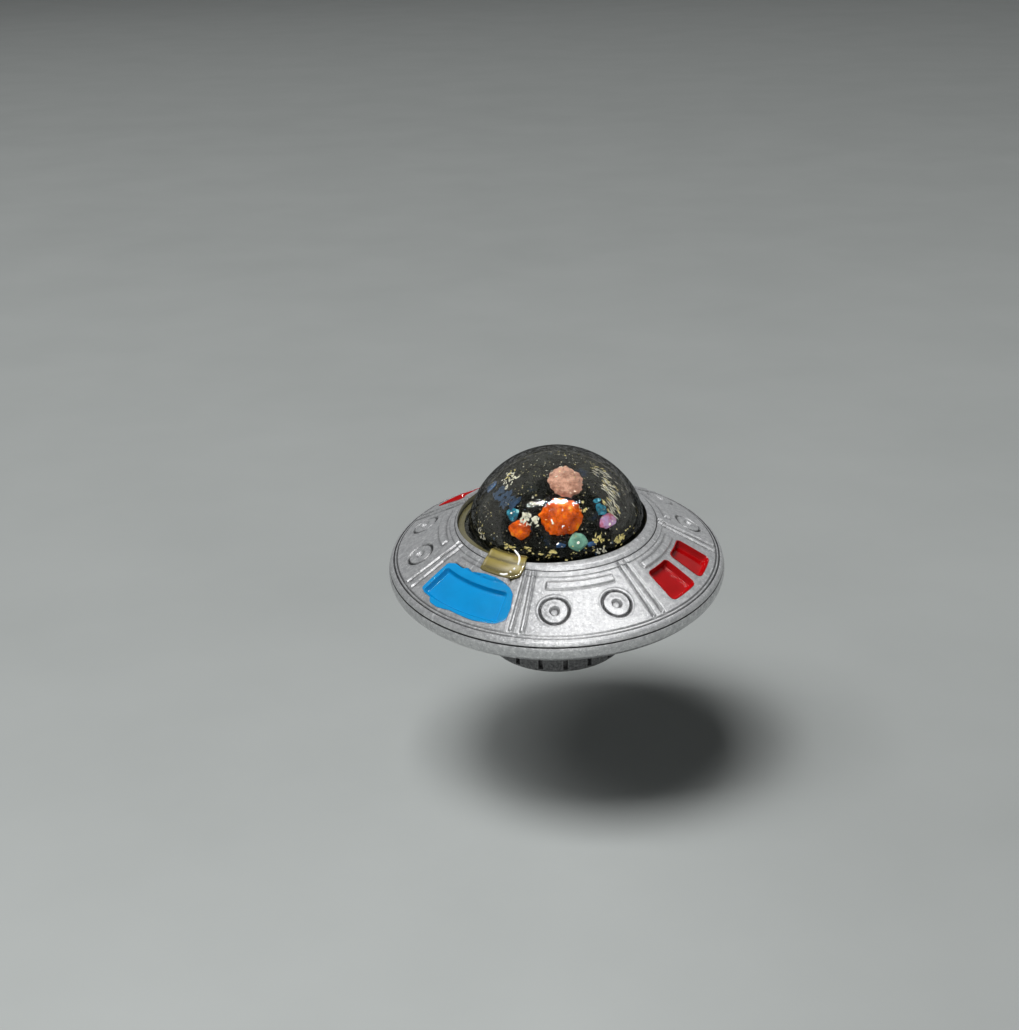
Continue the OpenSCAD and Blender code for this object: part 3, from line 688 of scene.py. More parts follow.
def canopy_tab():
    """Lift tab that hangs from the canopy's foot over the collar."""
    edge = polygon_loop(TAB_CORNERS, 0.5)
    reach = np.hypot(edge[:, 0], edge[:, 1])
    rings = [(edge * k, 0.28) for k in (0.1, 0.2, 0.3, 0.4, 0.5, 0.6, 0.68, 0.76)]
    rings += [(edge * (1 - inset / reach)[:, None], height) for inset, height in TAB_EDGE]
    return stacked("canopy_tab", rings + [(edge * 0.5, 0.0)], tab_place, smooth_angle=60)


# The pale bead that follows these runs glows a little: a painted highlight line along the tab's edge.
BEAD_RUNS = [  # (azimuth, radius, height) along each run of the pale bead on the tab's right and front edges
    [(-26.8, 15.6, 25.75), (-25.5, 15.7, 25.45), (-23.6, 15.95, 25.2), (-22.1, 16.45, 25.08),
     (-21.3, 17.0, 24.86), (-21.1, 17.8, 24.3)],
    [(-22.2, 18.3, 23.95), (-22.9, 18.6, 23.75)],
    [(-23.6, 18.95, 23.55), (-24.2, 19.15, 23.45)],
    [(-24.7, 19.5, 23.3), (-26.4, 19.85, 23.2), (-28.6, 19.9, 23.2)],
]


def bead(run, sides=10):
    """Verts and faces of a round bead along one run, tapered at its ends."""
    azimuth, r, z = np.transpose(run)
    line = polar(r, azimuth, z)
    span = np.concatenate([[0], np.cumsum(np.linalg.norm(np.diff(line, axis=0), axis=1))])
    count = max(6, int(span[-1] / BEAD_STEP))
    at = np.linspace(0, span[-1], count)
    centre = np.stack([np.interp(at, span, line[:, k]) for k in range(3)], axis=1)
    for _ in range(2):
        centre[1:-1] = (centre[:-2] + 2 * centre[1:-1] + centre[2:]) / 4
    tangent = np.gradient(centre, axis=0)
    tangent /= np.linalg.norm(tangent, axis=1)[:, None]
    side = np.cross(tangent, [0, 0, 1.0])
    side /= np.linalg.norm(side, axis=1)[:, None]
    up = np.cross(side, tangent)
    size = BEAD_R * (1 - np.linspace(-0.97, 0.97, count) ** 8) ** 0.5
    angle = (np.arange(sides) * 2 * math.pi / sides)[None, :, None]
    spoke = np.cos(angle) * side[:, None] + np.sin(angle) * up[:, None]
    rings = centre[:, None] + size[:, None, None] * spoke
    ends = [tuple(range(sides)), tuple(range((count - 1) * sides, count * sides))]
    return rings.reshape(-1, 3), grid_faces(count, sides) + ends


def tab_highlight_bead():
    return make_object("canopy_tab_bead", *joined(bead(run) for run in BEAD_RUNS), smooth_angle=60)


# ---------------------------------------------------------------- core and what is in it

# What is set in the core, as node: (slot, balls); a ball is its azimuth, tilt, half width, half height along
# the dome, half thickness, facets and scallops
CONTENTS = {
    "orange_planet_large": ("orange_resin", [(4.0, 37.6, 4.35, 4.0, 1.9, 130, 17)]),
    "orange_planet_small": ("orange_resin", [(-30.6, 23.6, 2.5, 1.85, 1.3, 60, 9)]),
    "pink_moon": ("pink_resin", [(17.0, 67.2, 3.65, 4.2, 1.2, 190, 15)]),
    "cyan_beads": ("cyan_glass", [(-40.5, 33.5, 1.25, 1.15, 0.8, 22, 5), (41.8, 36.0, 1.0, 1.15, 0.8, 22, 5),
                                  (41.5, 43, 0.8, 0.35, 0.3, 12, 0)]),
    "purple_bead": ("purple_glass", [(44.6, 25.2, 2.2, 1.15, 1.0, 36, 6)]),
    "teal_bead": ("teal_glass", [(16.0, 15.2, 1.75, 1.65, 1.3, 16, 0)]),
    "blue_chips": ("blue_glass", [(2.2, 14.8, 0.8, 0.4, 0.4, 9, 3), (25.1, 12.4, 0.7, 0.45, 0.4, 9, 3),
                                  (-88, 37, 0.9, 1.3, 0.4, 14, 0)]),
}
HOLLOW_FROM = 1.4
FIRST_SEED = 20


def core_frame(azimuth, tilt):
    """A point of the core's surface with the outward, sideways and upward directions there."""
    a, t = math.radians(azimuth), math.radians(tilt)
    east, south, rise = math.cos(t) * math.sin(a), -math.cos(t) * math.cos(a), math.sin(t)
    point = DOME_AXIS + [CORE_R * east, CORE_R * south, DOME_Z + CORE_H * rise]
    out = np.array([east / CORE_R, south / CORE_R, rise / CORE_H])
    out /= np.linalg.norm(out)
    side = np.array([math.cos(a), math.sin(a), 0.0])
    return point, out, side, np.cross(out, side)


def inside_canopy(points, gap):
    """Moves points that would poke through the canopy's inner face back inside it."""
    centre = DOME_AXIS + [0, 0, DOME_Z]
    rel = points - centre
    across = np.hypot(rel[:, 0], rel[:, 1]) / (DOME_R - DOME_WALL - gap)
    up = np.clip(rel[:, 2], 0, None) / (DOME_H - DOME_WALL - gap)
    reach = (across ** (2 / DOME_POWER) + up ** (2 / DOME_POWER)) ** (DOME_POWER / 2)
    return centre + rel * np.where(reach > 1, 1 / reach, 1)[:, None]


def galaxy_core():
    """Dark dome with a hollow round each planet, standing on a flange."""
    azimuth = np.arange(0, 360, 1.5)
    tilts = np.concatenate([np.arange(88.5, 1, -1.5), [0.8]])
    a, t = np.meshgrid(np.radians(azimuth), np.radians(tilts))
    rows = np.stack([dome_row(tilt, CORE_R, CORE_H, azimuth) for tilt in tilts])
    centre = DOME_AXIS + [0, 0, DOME_Z]
    wave = np.sin(7 * a) * np.sin(9 * t) + np.sin(11 * a - 6 * t)
    dip = 0.1 + 0.05 * wave * np.cos(t)
    for _, balls in CONTENTS.values():
        for ball_azimuth, tilt, radius, _, thickness, _, _ in balls:
            if radius >= HOLLOW_FROM:
                away = np.linalg.norm(rows - core_frame(ball_azimuth, tilt)[0], axis=2) - radius * 0.9
                dip += 0.75 * thickness * smooth_ramp(away - 0.55, 0.7)
    rows = centre + (rows - centre) * (1 - dip / CORE_R)[..., None]
    foot = [(CORE_R - 0.15, DOME_Z - 0.1), (CORE_R - 0.2, CANOPY_Z - 0.05)]
    flange = [(FOOT_R - 0.12, CANOPY_Z - 0.06), (FOOT_R - 0.02, CANOPY_Z - 0.16),
              (FOOT_R - 0.02, SHELF_TOP_Z + 0.1), (FOOT_R - 0.1, SHELF_TOP_Z)]
    skirt = [polar(r, azimuth, z) + DOME_AXIS for r, z in foot]
    skirt += [polar(r, azimuth, z) + FOOT_AXIS for r, z in flange]
    return grid_object("galaxy_dome", np.concatenate([rows, np.stack(skirt)]),
                       start_cap=rows[0].mean(axis=0) + [0, 0, 0.01], end_cap=FOOT_AXIS + [0, 0, SHELF_TOP_Z])


def gem(rng, facets, roughness, scallops):
    """Verts and faces of a unit ball cut by flat facets at random, with scallops round its waist."""
    ball = bmesh.new()
    bmesh.ops.create_icosphere(ball, subdivisions=4, radius=1)
    verts = np.array([v.co for v in ball.verts])
    faces = [tuple(v.index for v in f.verts) for f in ball.faces]
    ball.free()
    directions = np.array([[rng.gauss(0, 1) for _ in range(3)] for _ in range(facets)])
    directions /= np.linalg.norm(directions, axis=1)[:, None]
    depth = np.array([1 - rng.random() * roughness for _ in range(facets)])
    facing = verts @ directions.T
    reach = np.minimum(np.where(facing > 0.2, depth / np.maximum(facing, 0.2), 9).min(axis=1), 1.12)
    if scallops:
        turn = np.arctan2(verts[:, 1], verts[:, 0])
        waist = verts[:, 0] ** 2 + verts[:, 1] ** 2
        uneven = 0.9 * np.sin(turn + rng.uniform(0, 6.283)) + 0.5 * np.sin(3 * turn + rng.uniform(0, 6.283))
        reach = reach * (1.03 + 0.12 * waist * (np.abs(np.cos(turn * scallops / 2 + uneven)) - 0.6))
    return verts * reach[:, None], faces


def set_gem(rng, azimuth, tilt, half_width, half_height, half_thickness, facets, scallops):
    """A gem flattened and sunk into the core, under the canopy."""
    point, out, side, up = core_frame(azimuth, tilt)
    ball, faces = gem(rng, facets, 0.3, scallops)
    flattened = ball * [half_width, half_height, half_thickness] @ np.stack([side, up, out])
    return inside_canopy(point - out * (half_thickness * 0.85 - 0.15) + flattened, 0.04), faces


def inlay(name, seed):
    """The balls of one kind."""
    rng = random.Random(seed)
    balls = [set_gem(rng, *ball) for ball in CONTENTS[name][1]]
    return make_object(name + "_inlay", *joined(balls), smooth_angle=12)


FLAKE_FIELDS = {  # piece: (seed, lift, fields of (count, azimuth, tilt, size and stretch ranges, spin))
    "gold_glitter": (11, 0.0, [
        (46, (-80, 80), (2.5, 14), (0.12, 0.4), (0.3, 0.6), 0.0),
        (9, (-12, -2), (3, 8), (0.2, 0.5), (0.3, 0.5), 0.4),
        (5, (-5, 0), (9, 11), (0.35, 0.75), (0.25, 0.4), 0.0),
        (6, (-24, -18), (9, 12), (0.3, 0.6), (0.3, 0.5), 0.0),
        (9, (-38, -30), (7, 10), (0.3, 0.6), (0.3, 0.6), 0.0),
        (16, (26, 35), (13, 21), (0.3, 0.7), (0.25, 0.5), None),
        (20, (43, 53), (6, 11), (0.25, 0.6), (0.4, 0.8), None),
        (16, (46, 60), (25, 40), (0.25, 0.9), (0.12, 0.25), 1.75),
        (14, (60, 76), (38, 52), (0.25, 0.8), (0.12, 0.25), 1.85),
        (12, (78, 105), (52, 66), (0.25, 0.8), (0.12, 0.25), 2.0),
        (8, (-96, -72), (52, 60), (0.25, 0.7), (0.4, 0.7), None),
        (9, (20, 28), (38, 46), (0.25, 0.6), (0.25, 0.5), 1.4),
        (120, (-180, 180), (4, 84), (0.08, 0.26), (0.3, 0.8), None),
        (60, (90, 270), (3, 40), (0.12, 0.4), (0.3, 0.8), None)]),
    "pale_glitter": (12, 0.0, [
        (34, (48, 60), (25, 39), (0.3, 1.1), (0.08, 0.16), 1.7),
        (44, (57, 74), (36, 50), (0.3, 1.2), (0.08, 0.16), 1.75),
        (36, (68, 88), (46, 62), (0.3, 1.1), (0.08, 0.16), 1.85),
        (14, (78, 95), (18, 44), (0.3, 0.9), (0.1, 0.2), 1.7),
        (16, (-30, 10), (41, 50), (0.12, 0.35), (0.3, 0.7), None),
        (26, (-30, -15), (28.5, 36), (0.35, 0.8), (0.4, 0.7), None),
        (30, (-90, -62), (48, 60), (0.25, 0.7), (0.3, 0.6), None),
        (14, (-30, 30), (68, 82), (0.1, 0.4), (0.2, 0.4), 0.2),
        (10, (28, 35), (4, 8), (0.3, 0.6), (0.4, 0.8), None),
        (14, (-72, -60), (2, 12), (0.2, 0.5), (0.3, 0.6), None),
        (170, (-180, 180), (4, 84), (0.06, 0.2), (0.3, 0.8), None)]),
    "blue_glitter": (13, 0.0, [
        (22, (-72, -40), (36, 46), (0.7, 1.5), (0.5, 0.9), None),
        (10, (-104, -92), (28, 36), (0.4, 0.8), (0.5, 0.9), None),
        (40, (-180, 180), (4, 70), (0.15, 0.5), (0.4, 0.8), None)]),
    # Pale glowing flakes lifted onto the gems and planets: painted glints.
    "planet_glints": (14, 0.13, [
        (1, (15.0, 15.0), (15.9, 15.9), (0.34, 0.34), (0.8, 0.8), 0.0),
        (1, (43.0, 43.0), (22.8, 22.8), (0.42, 0.42), (0.6, 0.6), 0.5),
        (1, (46.5, 46.5), (24.0, 24.0), (0.25, 0.25), (0.8, 0.8), 0.5),
        (1, (-40.5, -40.5), (33.6, 33.6), (0.3, 0.3), (0.8, 0.8), 0.0),
        (2, (-4.2, -2.8), (31.4, 33.6), (0.55, 0.7), (0.28, 0.34), 1.9),
        (2, (3.0, 7.3), (28.6, 29.4), (0.35, 0.45), (0.4, 0.5), 0.9)]),
}


def flake(rng, azimuth, tilt, size, stretch, spin, lift):
    """Verts and faces of a thin irregular prism lying on the core, or lifted onto a planet."""
    point, out, side, up = core_frame(azimuth, tilt)
    corners = rng.choice((4, 5, 6))
    ring = []
    for k in range(corners):
        angle = (k + rng.uniform(-0.3, 0.3)) * 2 * math.pi / corners
        reach = size * rng.uniform(0.5, 1)
        x, y = reach * math.cos(angle), reach * math.sin(angle) * stretch
        ring.append((x * math.cos(spin) - y * math.sin(spin), x * math.sin(spin) + y * math.cos(spin)))
    lean = np.array([rng.gauss(0, 0.12), rng.gauss(0, 0.12)])
    verts = [point + side * x + up * y + out * (level + lean[0] * x + lean[1] * y)
             for level in (0.1 + lift, 0.04 + lift) for x, y in ring]
    top = tuple(range(corners))
    under = tuple(range(2 * corners - 1, corners - 1, -1))
    walls = [(k, (k + 1) % corners, corners + (k + 1) % corners, corners + k) for k in range(corners)]
    return inside_canopy(np.array(verts), 0.015 if lift else 0.03), [top, under] + walls


def glitter(name):
    """All the flakes of one piece."""
    seed, lift, fields = FLAKE_FIELDS[name]
    rng = random.Random(seed)
    flakes = []
    for count, *ranges, spin in fields:
        for _ in range(count):
            turn = rng.uniform(0, math.pi) if spin is None else spin + rng.gauss(0, 0.3)
            flakes.append(flake(rng, *[rng.uniform(*span) for span in ranges], turn, lift))
    return make_object(name, *joined(flakes), smooth_angle=10)


# ---------------------------------------------------------------- materials

def scaled(colour, factor):
    return tuple(c * factor for c in colour)


class Finish:
    """A material built round a Principled shader; coordinates are in metres, from the object's own space."""

    def __init__(self, name, **surface):
        self.material = bpy.data.materials.new(name)
        self.material.use_nodes = True
        self.tree = self.material.node_tree
        self.shader = self.tree.nodes["Principled BSDF"]
        self.output = self.tree.nodes["Material Output"]
        self.coords = self.add("ShaderNodeTexCoord").outputs["Object"]
        self.set(**surface)

    def put(self, socket, value):
        if isinstance(value, bpy.types.NodeSocket):
            self.tree.links.new(value, socket)
        elif isinstance(value, tuple) and len(value) == 3 and socket.type == "RGBA":
            socket.default_value = (*value, 1)
        else:
            socket.default_value = value

    def set(self, **values):
        for key, value in values.items():
            self.put(self.shader.inputs[key.replace("_", " ")], value)

    def add(self, kind, sockets=None, **settings):
        node = self.tree.nodes.new(kind)
        for key, value in settings.items():
            setattr(node, key, value)
        for key, value in (sockets or {}).items():
            self.put(node.inputs[key], value)
        return node

    def vector(self, operation, sockets, output=0):
        return self.add("ShaderNodeVectorMath", sockets, operation=operation).outputs[output]

    def noise(self, per_mm, detail=3.0, roughness=0.55, stretch=None):
        source = self.coords
        if stretch is not None:
            source = self.add("ShaderNodeMapping", {"Vector": source, "Scale": stretch}).outputs["Vector"]
        return self.add("ShaderNodeTexNoise", {"Vector": source, "Scale": per_mm / MM, "Detail": detail,
                                               "Roughness": roughness}).outputs["Fac"]

    def cells(self, per_mm):
        return self.add("ShaderNodeTexVoronoi", {"Vector": self.coords, "Scale": per_mm / MM}).outputs

    def ramp(self, source, *stops):
        """Colour ramp; each stop is (position, colour or grey)."""
        node = self.add("ShaderNodeValToRGB", {"Fac": source})
        band = node.color_ramp
        while len(band.elements) < len(stops):
            band.elements.new(0.5)
        for element, (position, colour) in zip(band.elements, stops):
            element.position = position
            element.color = (*colour, 1) if isinstance(colour, tuple) else (colour, colour, colour, 1)
        return node.outputs["Color"]

    def mix(self, fac, a, b, blend="MIX"):
        node = self.add("ShaderNodeMix", data_type="RGBA", blend_type=blend)
        for socket, value in ((node.inputs[0], fac), (node.inputs[6], a), (node.inputs[7], b)):
            self.put(socket, value)
        return node.outputs[2]

    def between(self, source, low, high, to_low, to_high):
        return self.add("ShaderNodeMapRange", {"Value": source, "From Min": low, "From Max": high,
                                               "To Min": to_low, "To Max": to_high}).outputs["Result"]

    def math(self, operation, a, b):
        return self.add("ShaderNodeMath", {0: a, 1: b}, operation=operation).outputs[0]

    def bump(self, height, depth_mm, strength=1.0, **sockets):
        sockets.update({"Height": height, "Distance": depth_mm * MM, "Strength": strength})
        return self.add("ShaderNodeBump", sockets).outputs["Normal"]

    def pointiness(self):
        return self.add("ShaderNodeNewGeometry").outputs["Pointiness"]

    def tilted(self, colours, amount):
        """Surface normal leaned by random cell colours, as flakes lie in paint."""
        centred = self.vector("SUBTRACT", {0: colours, 1: (0.5, 0.5, 0.5)})
        leaned = self.vector("SCALE", {0: centred, "Scale": amount})
        normal = self.add("ShaderNodeNewGeometry").outputs["Normal"]
        return self.vector("NORMALIZE", {0: self.vector("ADD", {0: normal, 1: leaned})})


def silver_paint():
    """Metal-flake lacquer over a cast surface, lighter on its edges as rubbed paint with painted glints, and
    with painted shade in its corners and recesses.
    """
    f = Finish("silver_flake_paint", Metallic=1.0)
    flakes = f.cells(5.5)["Color"]
    mottle = f.noise(1.3, detail=4)
    fine = f.noise(6.0, detail=2)
    one_channel = f.add("ShaderNodeSeparateColor", {"Color": flakes}).outputs[0]
    spark = f.ramp(one_channel, (0.0, 0.90), (0.86, 1.0), (1.0, 1.25))
    # Lighter on convex edges as rubbed paint with painted glints; darker in creases as painted shade.
    worn_edge_glint_and_crease_shade = f.ramp(f.pointiness(), (0.40, (0.42, 0.42, 0.43)), (0.485, 1.0), (0.53, 1.0), (0.6, 1.3))
    # The occlusion darkens grooves and recesses: painted shade.
    hollow = f.add("ShaderNodeAmbientOcclusion", {"Distance": 0.7 * MM}, samples=6).outputs["AO"]
    base = f.ramp(mottle, (0.32, (0.52, 0.52, 0.53)), (0.68, 0.72))
    for layer in (spark, worn_edge_glint_and_crease_shade, f.ramp(hollow, (0.5, 0.3), (0.93, 1.0))):
        base = f.mix(1.0, base, layer, "MULTIPLY")
    lumps = f.math("ADD", f.math("MULTIPLY", mottle, 1.5), fine)
    f.set(Base_Color=base, Normal=f.bump(lumps, 0.05, 0.6, Normal=f.tilted(flakes, 0.16)))
    f.set(Roughness=f.between(f.math("ADD", mottle, fine), 0.6, 1.4, 0.33, 0.47))
    return f.material


def enamel(name, colour, deep):
    """Glossy hand-filled enamel with darker and lighter clouds at random, faint waves and specks."""
    f = Finish(name, IOR=1.45, Specular_IOR_Level=0.22)
    pool = f.noise(0.28, detail=2)
    specks = f.noise(3.0, detail=3)
    tone = f.ramp(pool, (0.3, deep), (0.65, colour))
    light = tuple(min(1, c * 1.5) for c in colour)
    f.set(Base_Color=f.mix(f.between(specks, 0.62, 0.75, 0, 0.25), tone, light))
    f.set(Roughness=f.between(specks, 0.3, 0.7, 0.08, 0.14))
    f.set(Normal=f.bump(f.math("ADD", f.math("MULTIPLY", pool, 4.0), specks), 0.02, 0.35))
    return f.material


def resin(name, light, dark, coat, per_mm, painted_glow, bright=None):
    """Cast resin with cloudy colour, pits and a wet coat; it glows a little, which is painted light that
    stands for light the dome gathers.
    """
    f = Finish(name, Coat_Weight=coat, Coat_Roughness=0.04, IOR=1.4, Specular_IOR_Level=0.04)
    cloud = f.noise(per_mm, detail=5, roughness=0.65)
    pits = f.noise(2.2, detail=3)
    middle = tuple((a + b) / 2 for a, b in zip(light, dark))
    base = f.ramp(cloud, (0.36, dark), (0.48, middle), (0.56, light), (0.68, bright or light))
    base = f.mix(f.between(pits, 0.55, 0.75, 0, 0.5), base, scaled(dark, 0.4))
    f.set(Base_Color=base, Roughness=f.between(cloud, 0.3, 0.7, 0.25, 0.5), Normal=f.bump(pits, 0.14, 0.8))
    # Emission: painted light that makes the resin glow.
    f.set(Emission_Color=base, Emission_Strength=painted_glow)
    return f.material


def painted_light_bands(f, base, pool, inner, outer):
    """Painted light and shade in bands by distance from the axis, where the ridges on and under the tab catch
    the light.
    """
    flat = f.vector("MULTIPLY", {0: f.coords, 1: (1.0, 1.0, 0.0)})
    reach = f.math("ADD", f.vector("LENGTH", {0: flat}, "Value"), f.math("MULTIPLY", pool, 0.4 * MM))
    place = f.between(reach, inner * MM, outer * MM, 0, 1)
    shade = f.ramp(place, (0.0, 0.5), (0.12, 2.0), (0.30, 1.7), (0.38, 0.45), (0.46, 1.9), (0.62, 1.6),
                   (0.72, 0.7), (1.0, 0.8))
    return f.mix(1.0, base, shade, "MULTIPLY")


def clear_resin(name, tint, body_colour, cloud, shine=1.0, bands=None, flecks_and_edge_shade=False):
    """Clear moulded resin: a tint that is seen through, a little cloudy colour of its own, and a glossy skin.

    When asked, the skin breaks its reflections up, and the see-through tint darkens towards the dome's
    outline: painted shade that stands in for the dark edge of thick resin.
    """
    f = Finish(name, Roughness=0.35)
    pool = f.noise(0.35, detail=3)
    dust = f.noise(2.6, detail=3)
    base = f.ramp(pool, (0.3, scaled(body_colour, 0.8)), (0.7, body_colour))
    # With bands the colour gets painted light and shade in bands, as on the tab.
    f.set(Base_Color=base if bands is None else painted_light_bands(f, base, pool, *bands))
    normal = f.bump(f.math("ADD", f.math("MULTIPLY", pool, 0.5), dust), 0.014, 1.0)
    edge = f.add("ShaderNodeFresnel", {"IOR": 1.5, "Normal": normal})
    mirror = f.math("MULTIPLY", edge.outputs[0], shine)
    if flecks_and_edge_shade:
        # Painted shade: the see-through tint darkens towards the dome's outline.
        facing = f.add("ShaderNodeLayerWeight", {"Blend": 0.5}).outputs["Facing"]
        tint = f.mix(1.0, tint, f.ramp(facing, (0.54, 1.0), (0.66, 0.35), (0.9, 0.14)), "MULTIPLY")
        peel = f.noise(1.9, detail=4, roughness=0.7, stretch=(0.7, 0.7, 1.3))
        mirror = f.math("MULTIPLY", mirror, f.between(peel, 0.47, 0.55, 0.12, 1.35))
        mirror = f.math("MINIMUM", mirror, 0.25)
    see = f.add("ShaderNodeBsdfTransparent", {"Color": tint})
    body = f.add("ShaderNodeMixShader", {0: cloud, 1: see.outputs[0], 2: f.shader.outputs[0]})
    polish = f.between(dust, 0.35, 0.65, 0.02, 0.05)
    skin = f.add("ShaderNodeBsdfGlossy", {"Roughness": polish, "Normal": normal})
    whole = f.add("ShaderNodeMixShader", {0: mirror, 1: body.outputs[0], 2: skin.outputs[0]})
    f.tree.links.new(whole.outputs[0], f.output.inputs["Surface"])
    return f.material


def galaxy_black():
    """Black resin with clouds of navy and brown, painted specks and drawn-out streaks of glitter."""
    f = Finish("galaxy_black_resin", Roughness=0.5, Specular_IOR_Level=0.05)
    cloud = f.noise(0.16, detail=5, roughness=0.65)
    base = f.ramp(cloud, (0.30, (0.001, 0.002, 0.002)), (0.54, (0.004, 0.005, 0.004)),
                  (0.62, (0.014, 0.017, 0.014)), (0.70, (0.012, 0.03, 0.08)))
    streaks = f.noise(1.0, detail=6, roughness=0.75, stretch=(1.0, 1.0, 0.22))
    base = f.mix(f.between(streaks, 0.62, 0.72, 0, 0.4), base, (0.26, 0.25, 0.17))
    near_speck = f.between(f.cells(1.6)["Distance"], 0.12, 0.2, 1, 0)
    dots = f.math("MULTIPLY", near_speck, f.between(f.noise(0.22, detail=2), 0.5, 0.6, 0, 1))
    f.set(Base_Color=f.mix(dots, base, (0.55, 0.50, 0.30)), Normal=f.bump(streaks, 0.12, 0.6))
    return f.material


def foil(name, light, dark):
    """Crumpled metal foil with a faint glow, which is painted light."""
    # The emission is painted light that brightens the foil.
    f = Finish(name, Metallic=0.7, Emission_Strength=0.5)
    cloud = f.noise(1.2, detail=3)
    base = f.ramp(cloud, (0.35, dark), (0.6, light))
    f.set(Base_Color=base, Emission_Color=base, Roughness=f.between(cloud, 0.3, 0.7, 0.22, 0.5))
    f.set(Normal=f.bump(f.noise(3.0, detail=3), 0.1, 0.8))
    return f.material


def cast_grey():
    """Dull grey cast metal with dark pores and rubbed edges."""
    f = Finish("hub_cast_grey", Metallic=0.55, Specular_IOR_Level=0.4)
    grain = f.noise(2.2, detail=5, roughness=0.7)
    base = f.ramp(grain, (0.32, (0.04, 0.04, 0.042)), (0.5, (0.14, 0.14, 0.142)), (0.72, 0.27))
    f.set(Base_Color=f.mix(f.between(f.pointiness(), 0.52, 0.6, 0, 0.8), base, (0.45, 0.45, 0.45)))
    f.set(Roughness=f.between(grain, 0.3, 0.7, 0.42, 0.62), Normal=f.bump(grain, 0.08, 0.7))
    return f.material


def turned_metal(name, colour, rough):
    """Turned or drawn metal with fine rings, stains and small scratches."""
    f = Finish(name, Metallic=1.0)
    stain = f.noise(0.5, detail=4)
    lines = f.noise(3.0, detail=2, stretch=(0.15, 0.15, 3.0))
    f.set(Base_Color=f.ramp(stain, (0.3, scaled(colour, 0.7)), (0.7, colour)))
    f.set(Roughness=f.between(f.math("ADD", stain, lines), 0.6, 1.4, rough * 0.7, rough * 1.5))
    f.set(Normal=f.bump(lines, 0.02, 0.4))
    return f.material


def moulded_plastic(name, colour):
    """Plain moulded plastic with a fine grain."""
    f = Finish(name, Roughness=0.4)
    grain = f.noise(2.5, detail=3)
    f.set(Base_Color=f.ramp(grain, (0.3, scaled(colour, 0.8)), (0.7, colour)))
    f.set(Normal=f.bump(grain, 0.02, 0.4))
    return f.material


def studio_floor():
    """Pale paper, darker towards the back and towards the near right: painted light falloff."""
    f = Finish("studio_floor", Roughness=0.85, Specular_IOR_Level=0.2)
    paper = f.noise(0.02, detail=4)
    tone = f.ramp(paper, (0.3, (0.50, 0.525, 0.515)), (0.7, (0.53, 0.555, 0.545)))
    position = f.add("ShaderNodeSeparateXYZ", {0: f.coords})
    depth = f.between(position.outputs["Y"], -0.1, 1.7, 0, 1)
    painted_falloff = f.ramp(depth, (0.011, 0.93), (0.056, 0.81), (0.094, 0.755), (0.167, 0.72), (0.311, 0.657),
                  (0.519, 0.66), (0.944, 0.8))
    # Painted shade: darker towards the near right.
    side = f.between(position.outputs["X"], 0.0, 0.06, 0, 0.14)
    near = f.between(position.outputs["Y"], -0.03, 0.06, 1, 0)
    painted_falloff = f.mix(f.math("MULTIPLY", side, near), painted_falloff, (0, 0, 0))
    f.set(Base_Color=f.mix(1.0, tone, painted_falloff, "MULTIPLY"))
    return f.material


# ---------------------------------------------------------------- pieces

RESINS = {  # slot: (light, dark, coat, clouds per mm, glow, and its brightest patches)
    "orange_resin": ((0.80, 0.125, 0.001), (0.34, 0.032, 0.001), 0.25, 0.32, 0.32, (1.0, 0.42, 0.01)),
    "pink_resin": ((0.64, 0.37, 0.30), (0.32, 0.15, 0.11), 0.3, 0.8, 0.3),
    "cyan_glass": ((0.01, 0.22, 0.36), (0.001, 0.05, 0.09), 1.0, 0.9, 0.5, (0.35, 0.75, 0.9)),
    "purple_glass": ((0.46, 0.30, 0.58), (0.42, 0.07, 0.12), 1.0, 0.6, 0.5),
    "teal_glass": ((0.22, 0.50, 0.42), (0.12, 0.30, 0.25), 1.0, 0.7, 0.4),
    "blue_glass": ((0.04, 0.14, 0.36), (0.01, 0.04, 0.12), 1.0, 0.8, 0.3),
}
METALS = {  # finish: (colour, roughness, CAD nodes)
    "polished_steel": ((0.72, 0.73, 0.75), 0.2, ("spindle", "pivot_ball")),
    "zinc_plated_steel": ((0.62, 0.63, 0.62), 0.34, ("hub_screw", "cover_screws", "shell_screws")),
    "blued_spring_steel": ((0.20, 0.23, 0.30), 0.3, ("retaining_clip", "mainspring", "clutch_spring")),
    "cast_weight_steel": ((0.34, 0.34, 0.35), 0.5, ("flywheel_ring",)),
    "turned_brass": ((0.74, 0.53, 0.20), 0.26, ("lower_bush", "pivot_cup", "spring_barrel", "barrel_cover")),
}


def paint(piece, material):
    piece.data.materials.clear()
    piece.data.materials.append(material)


def add(piece, body, material, node):
    """Finishes a piece, attaches it to the body it rides on, and hides the CAD node that it stands for."""
    paint(piece, material)
    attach(piece, body)
    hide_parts(node)
    return piece


def build_saucer():
    silver = silver_paint()
    add(upper_shell(), "saucer", silver, "upper_shell")
    add(lower_shell(), "saucer", silver, "lower_shell")
    blue = enamel("blue_gloss_enamel", (0.001, 0.29, 0.66), (0.001, 0.26, 0.60))
    tray = enamel_tray("blue_enamel_panel", BLUE_AZIMUTH + BLUE_SHIFT, BLUE_HALF_ANGLE, BLUE_SPAN, BLUE_DEPTH,
                       BLUE_CORNER, blue_border())
    add(tray, "saucer", blue, "blue_panel")
    red = enamel("red_gloss_enamel", (0.50, 0.003, 0.005), (0.42, 0.002, 0.003))
    places = [BLUE_AZIMUTH + sector * SECTOR + side * RED_ANGLE for sector in RED_SECTORS for side in (-1, 1)]
    for number, azimuth in enumerate(places, 1):
        name = f"red_enamel_panel_{number}"
        tray = enamel_tray(name, azimuth, RED_HALF_ANGLE, RED_SPAN, RED_DEPTH, RED_CORNER)
        add(tray, "saucer", red, f"red_panel_{number}")


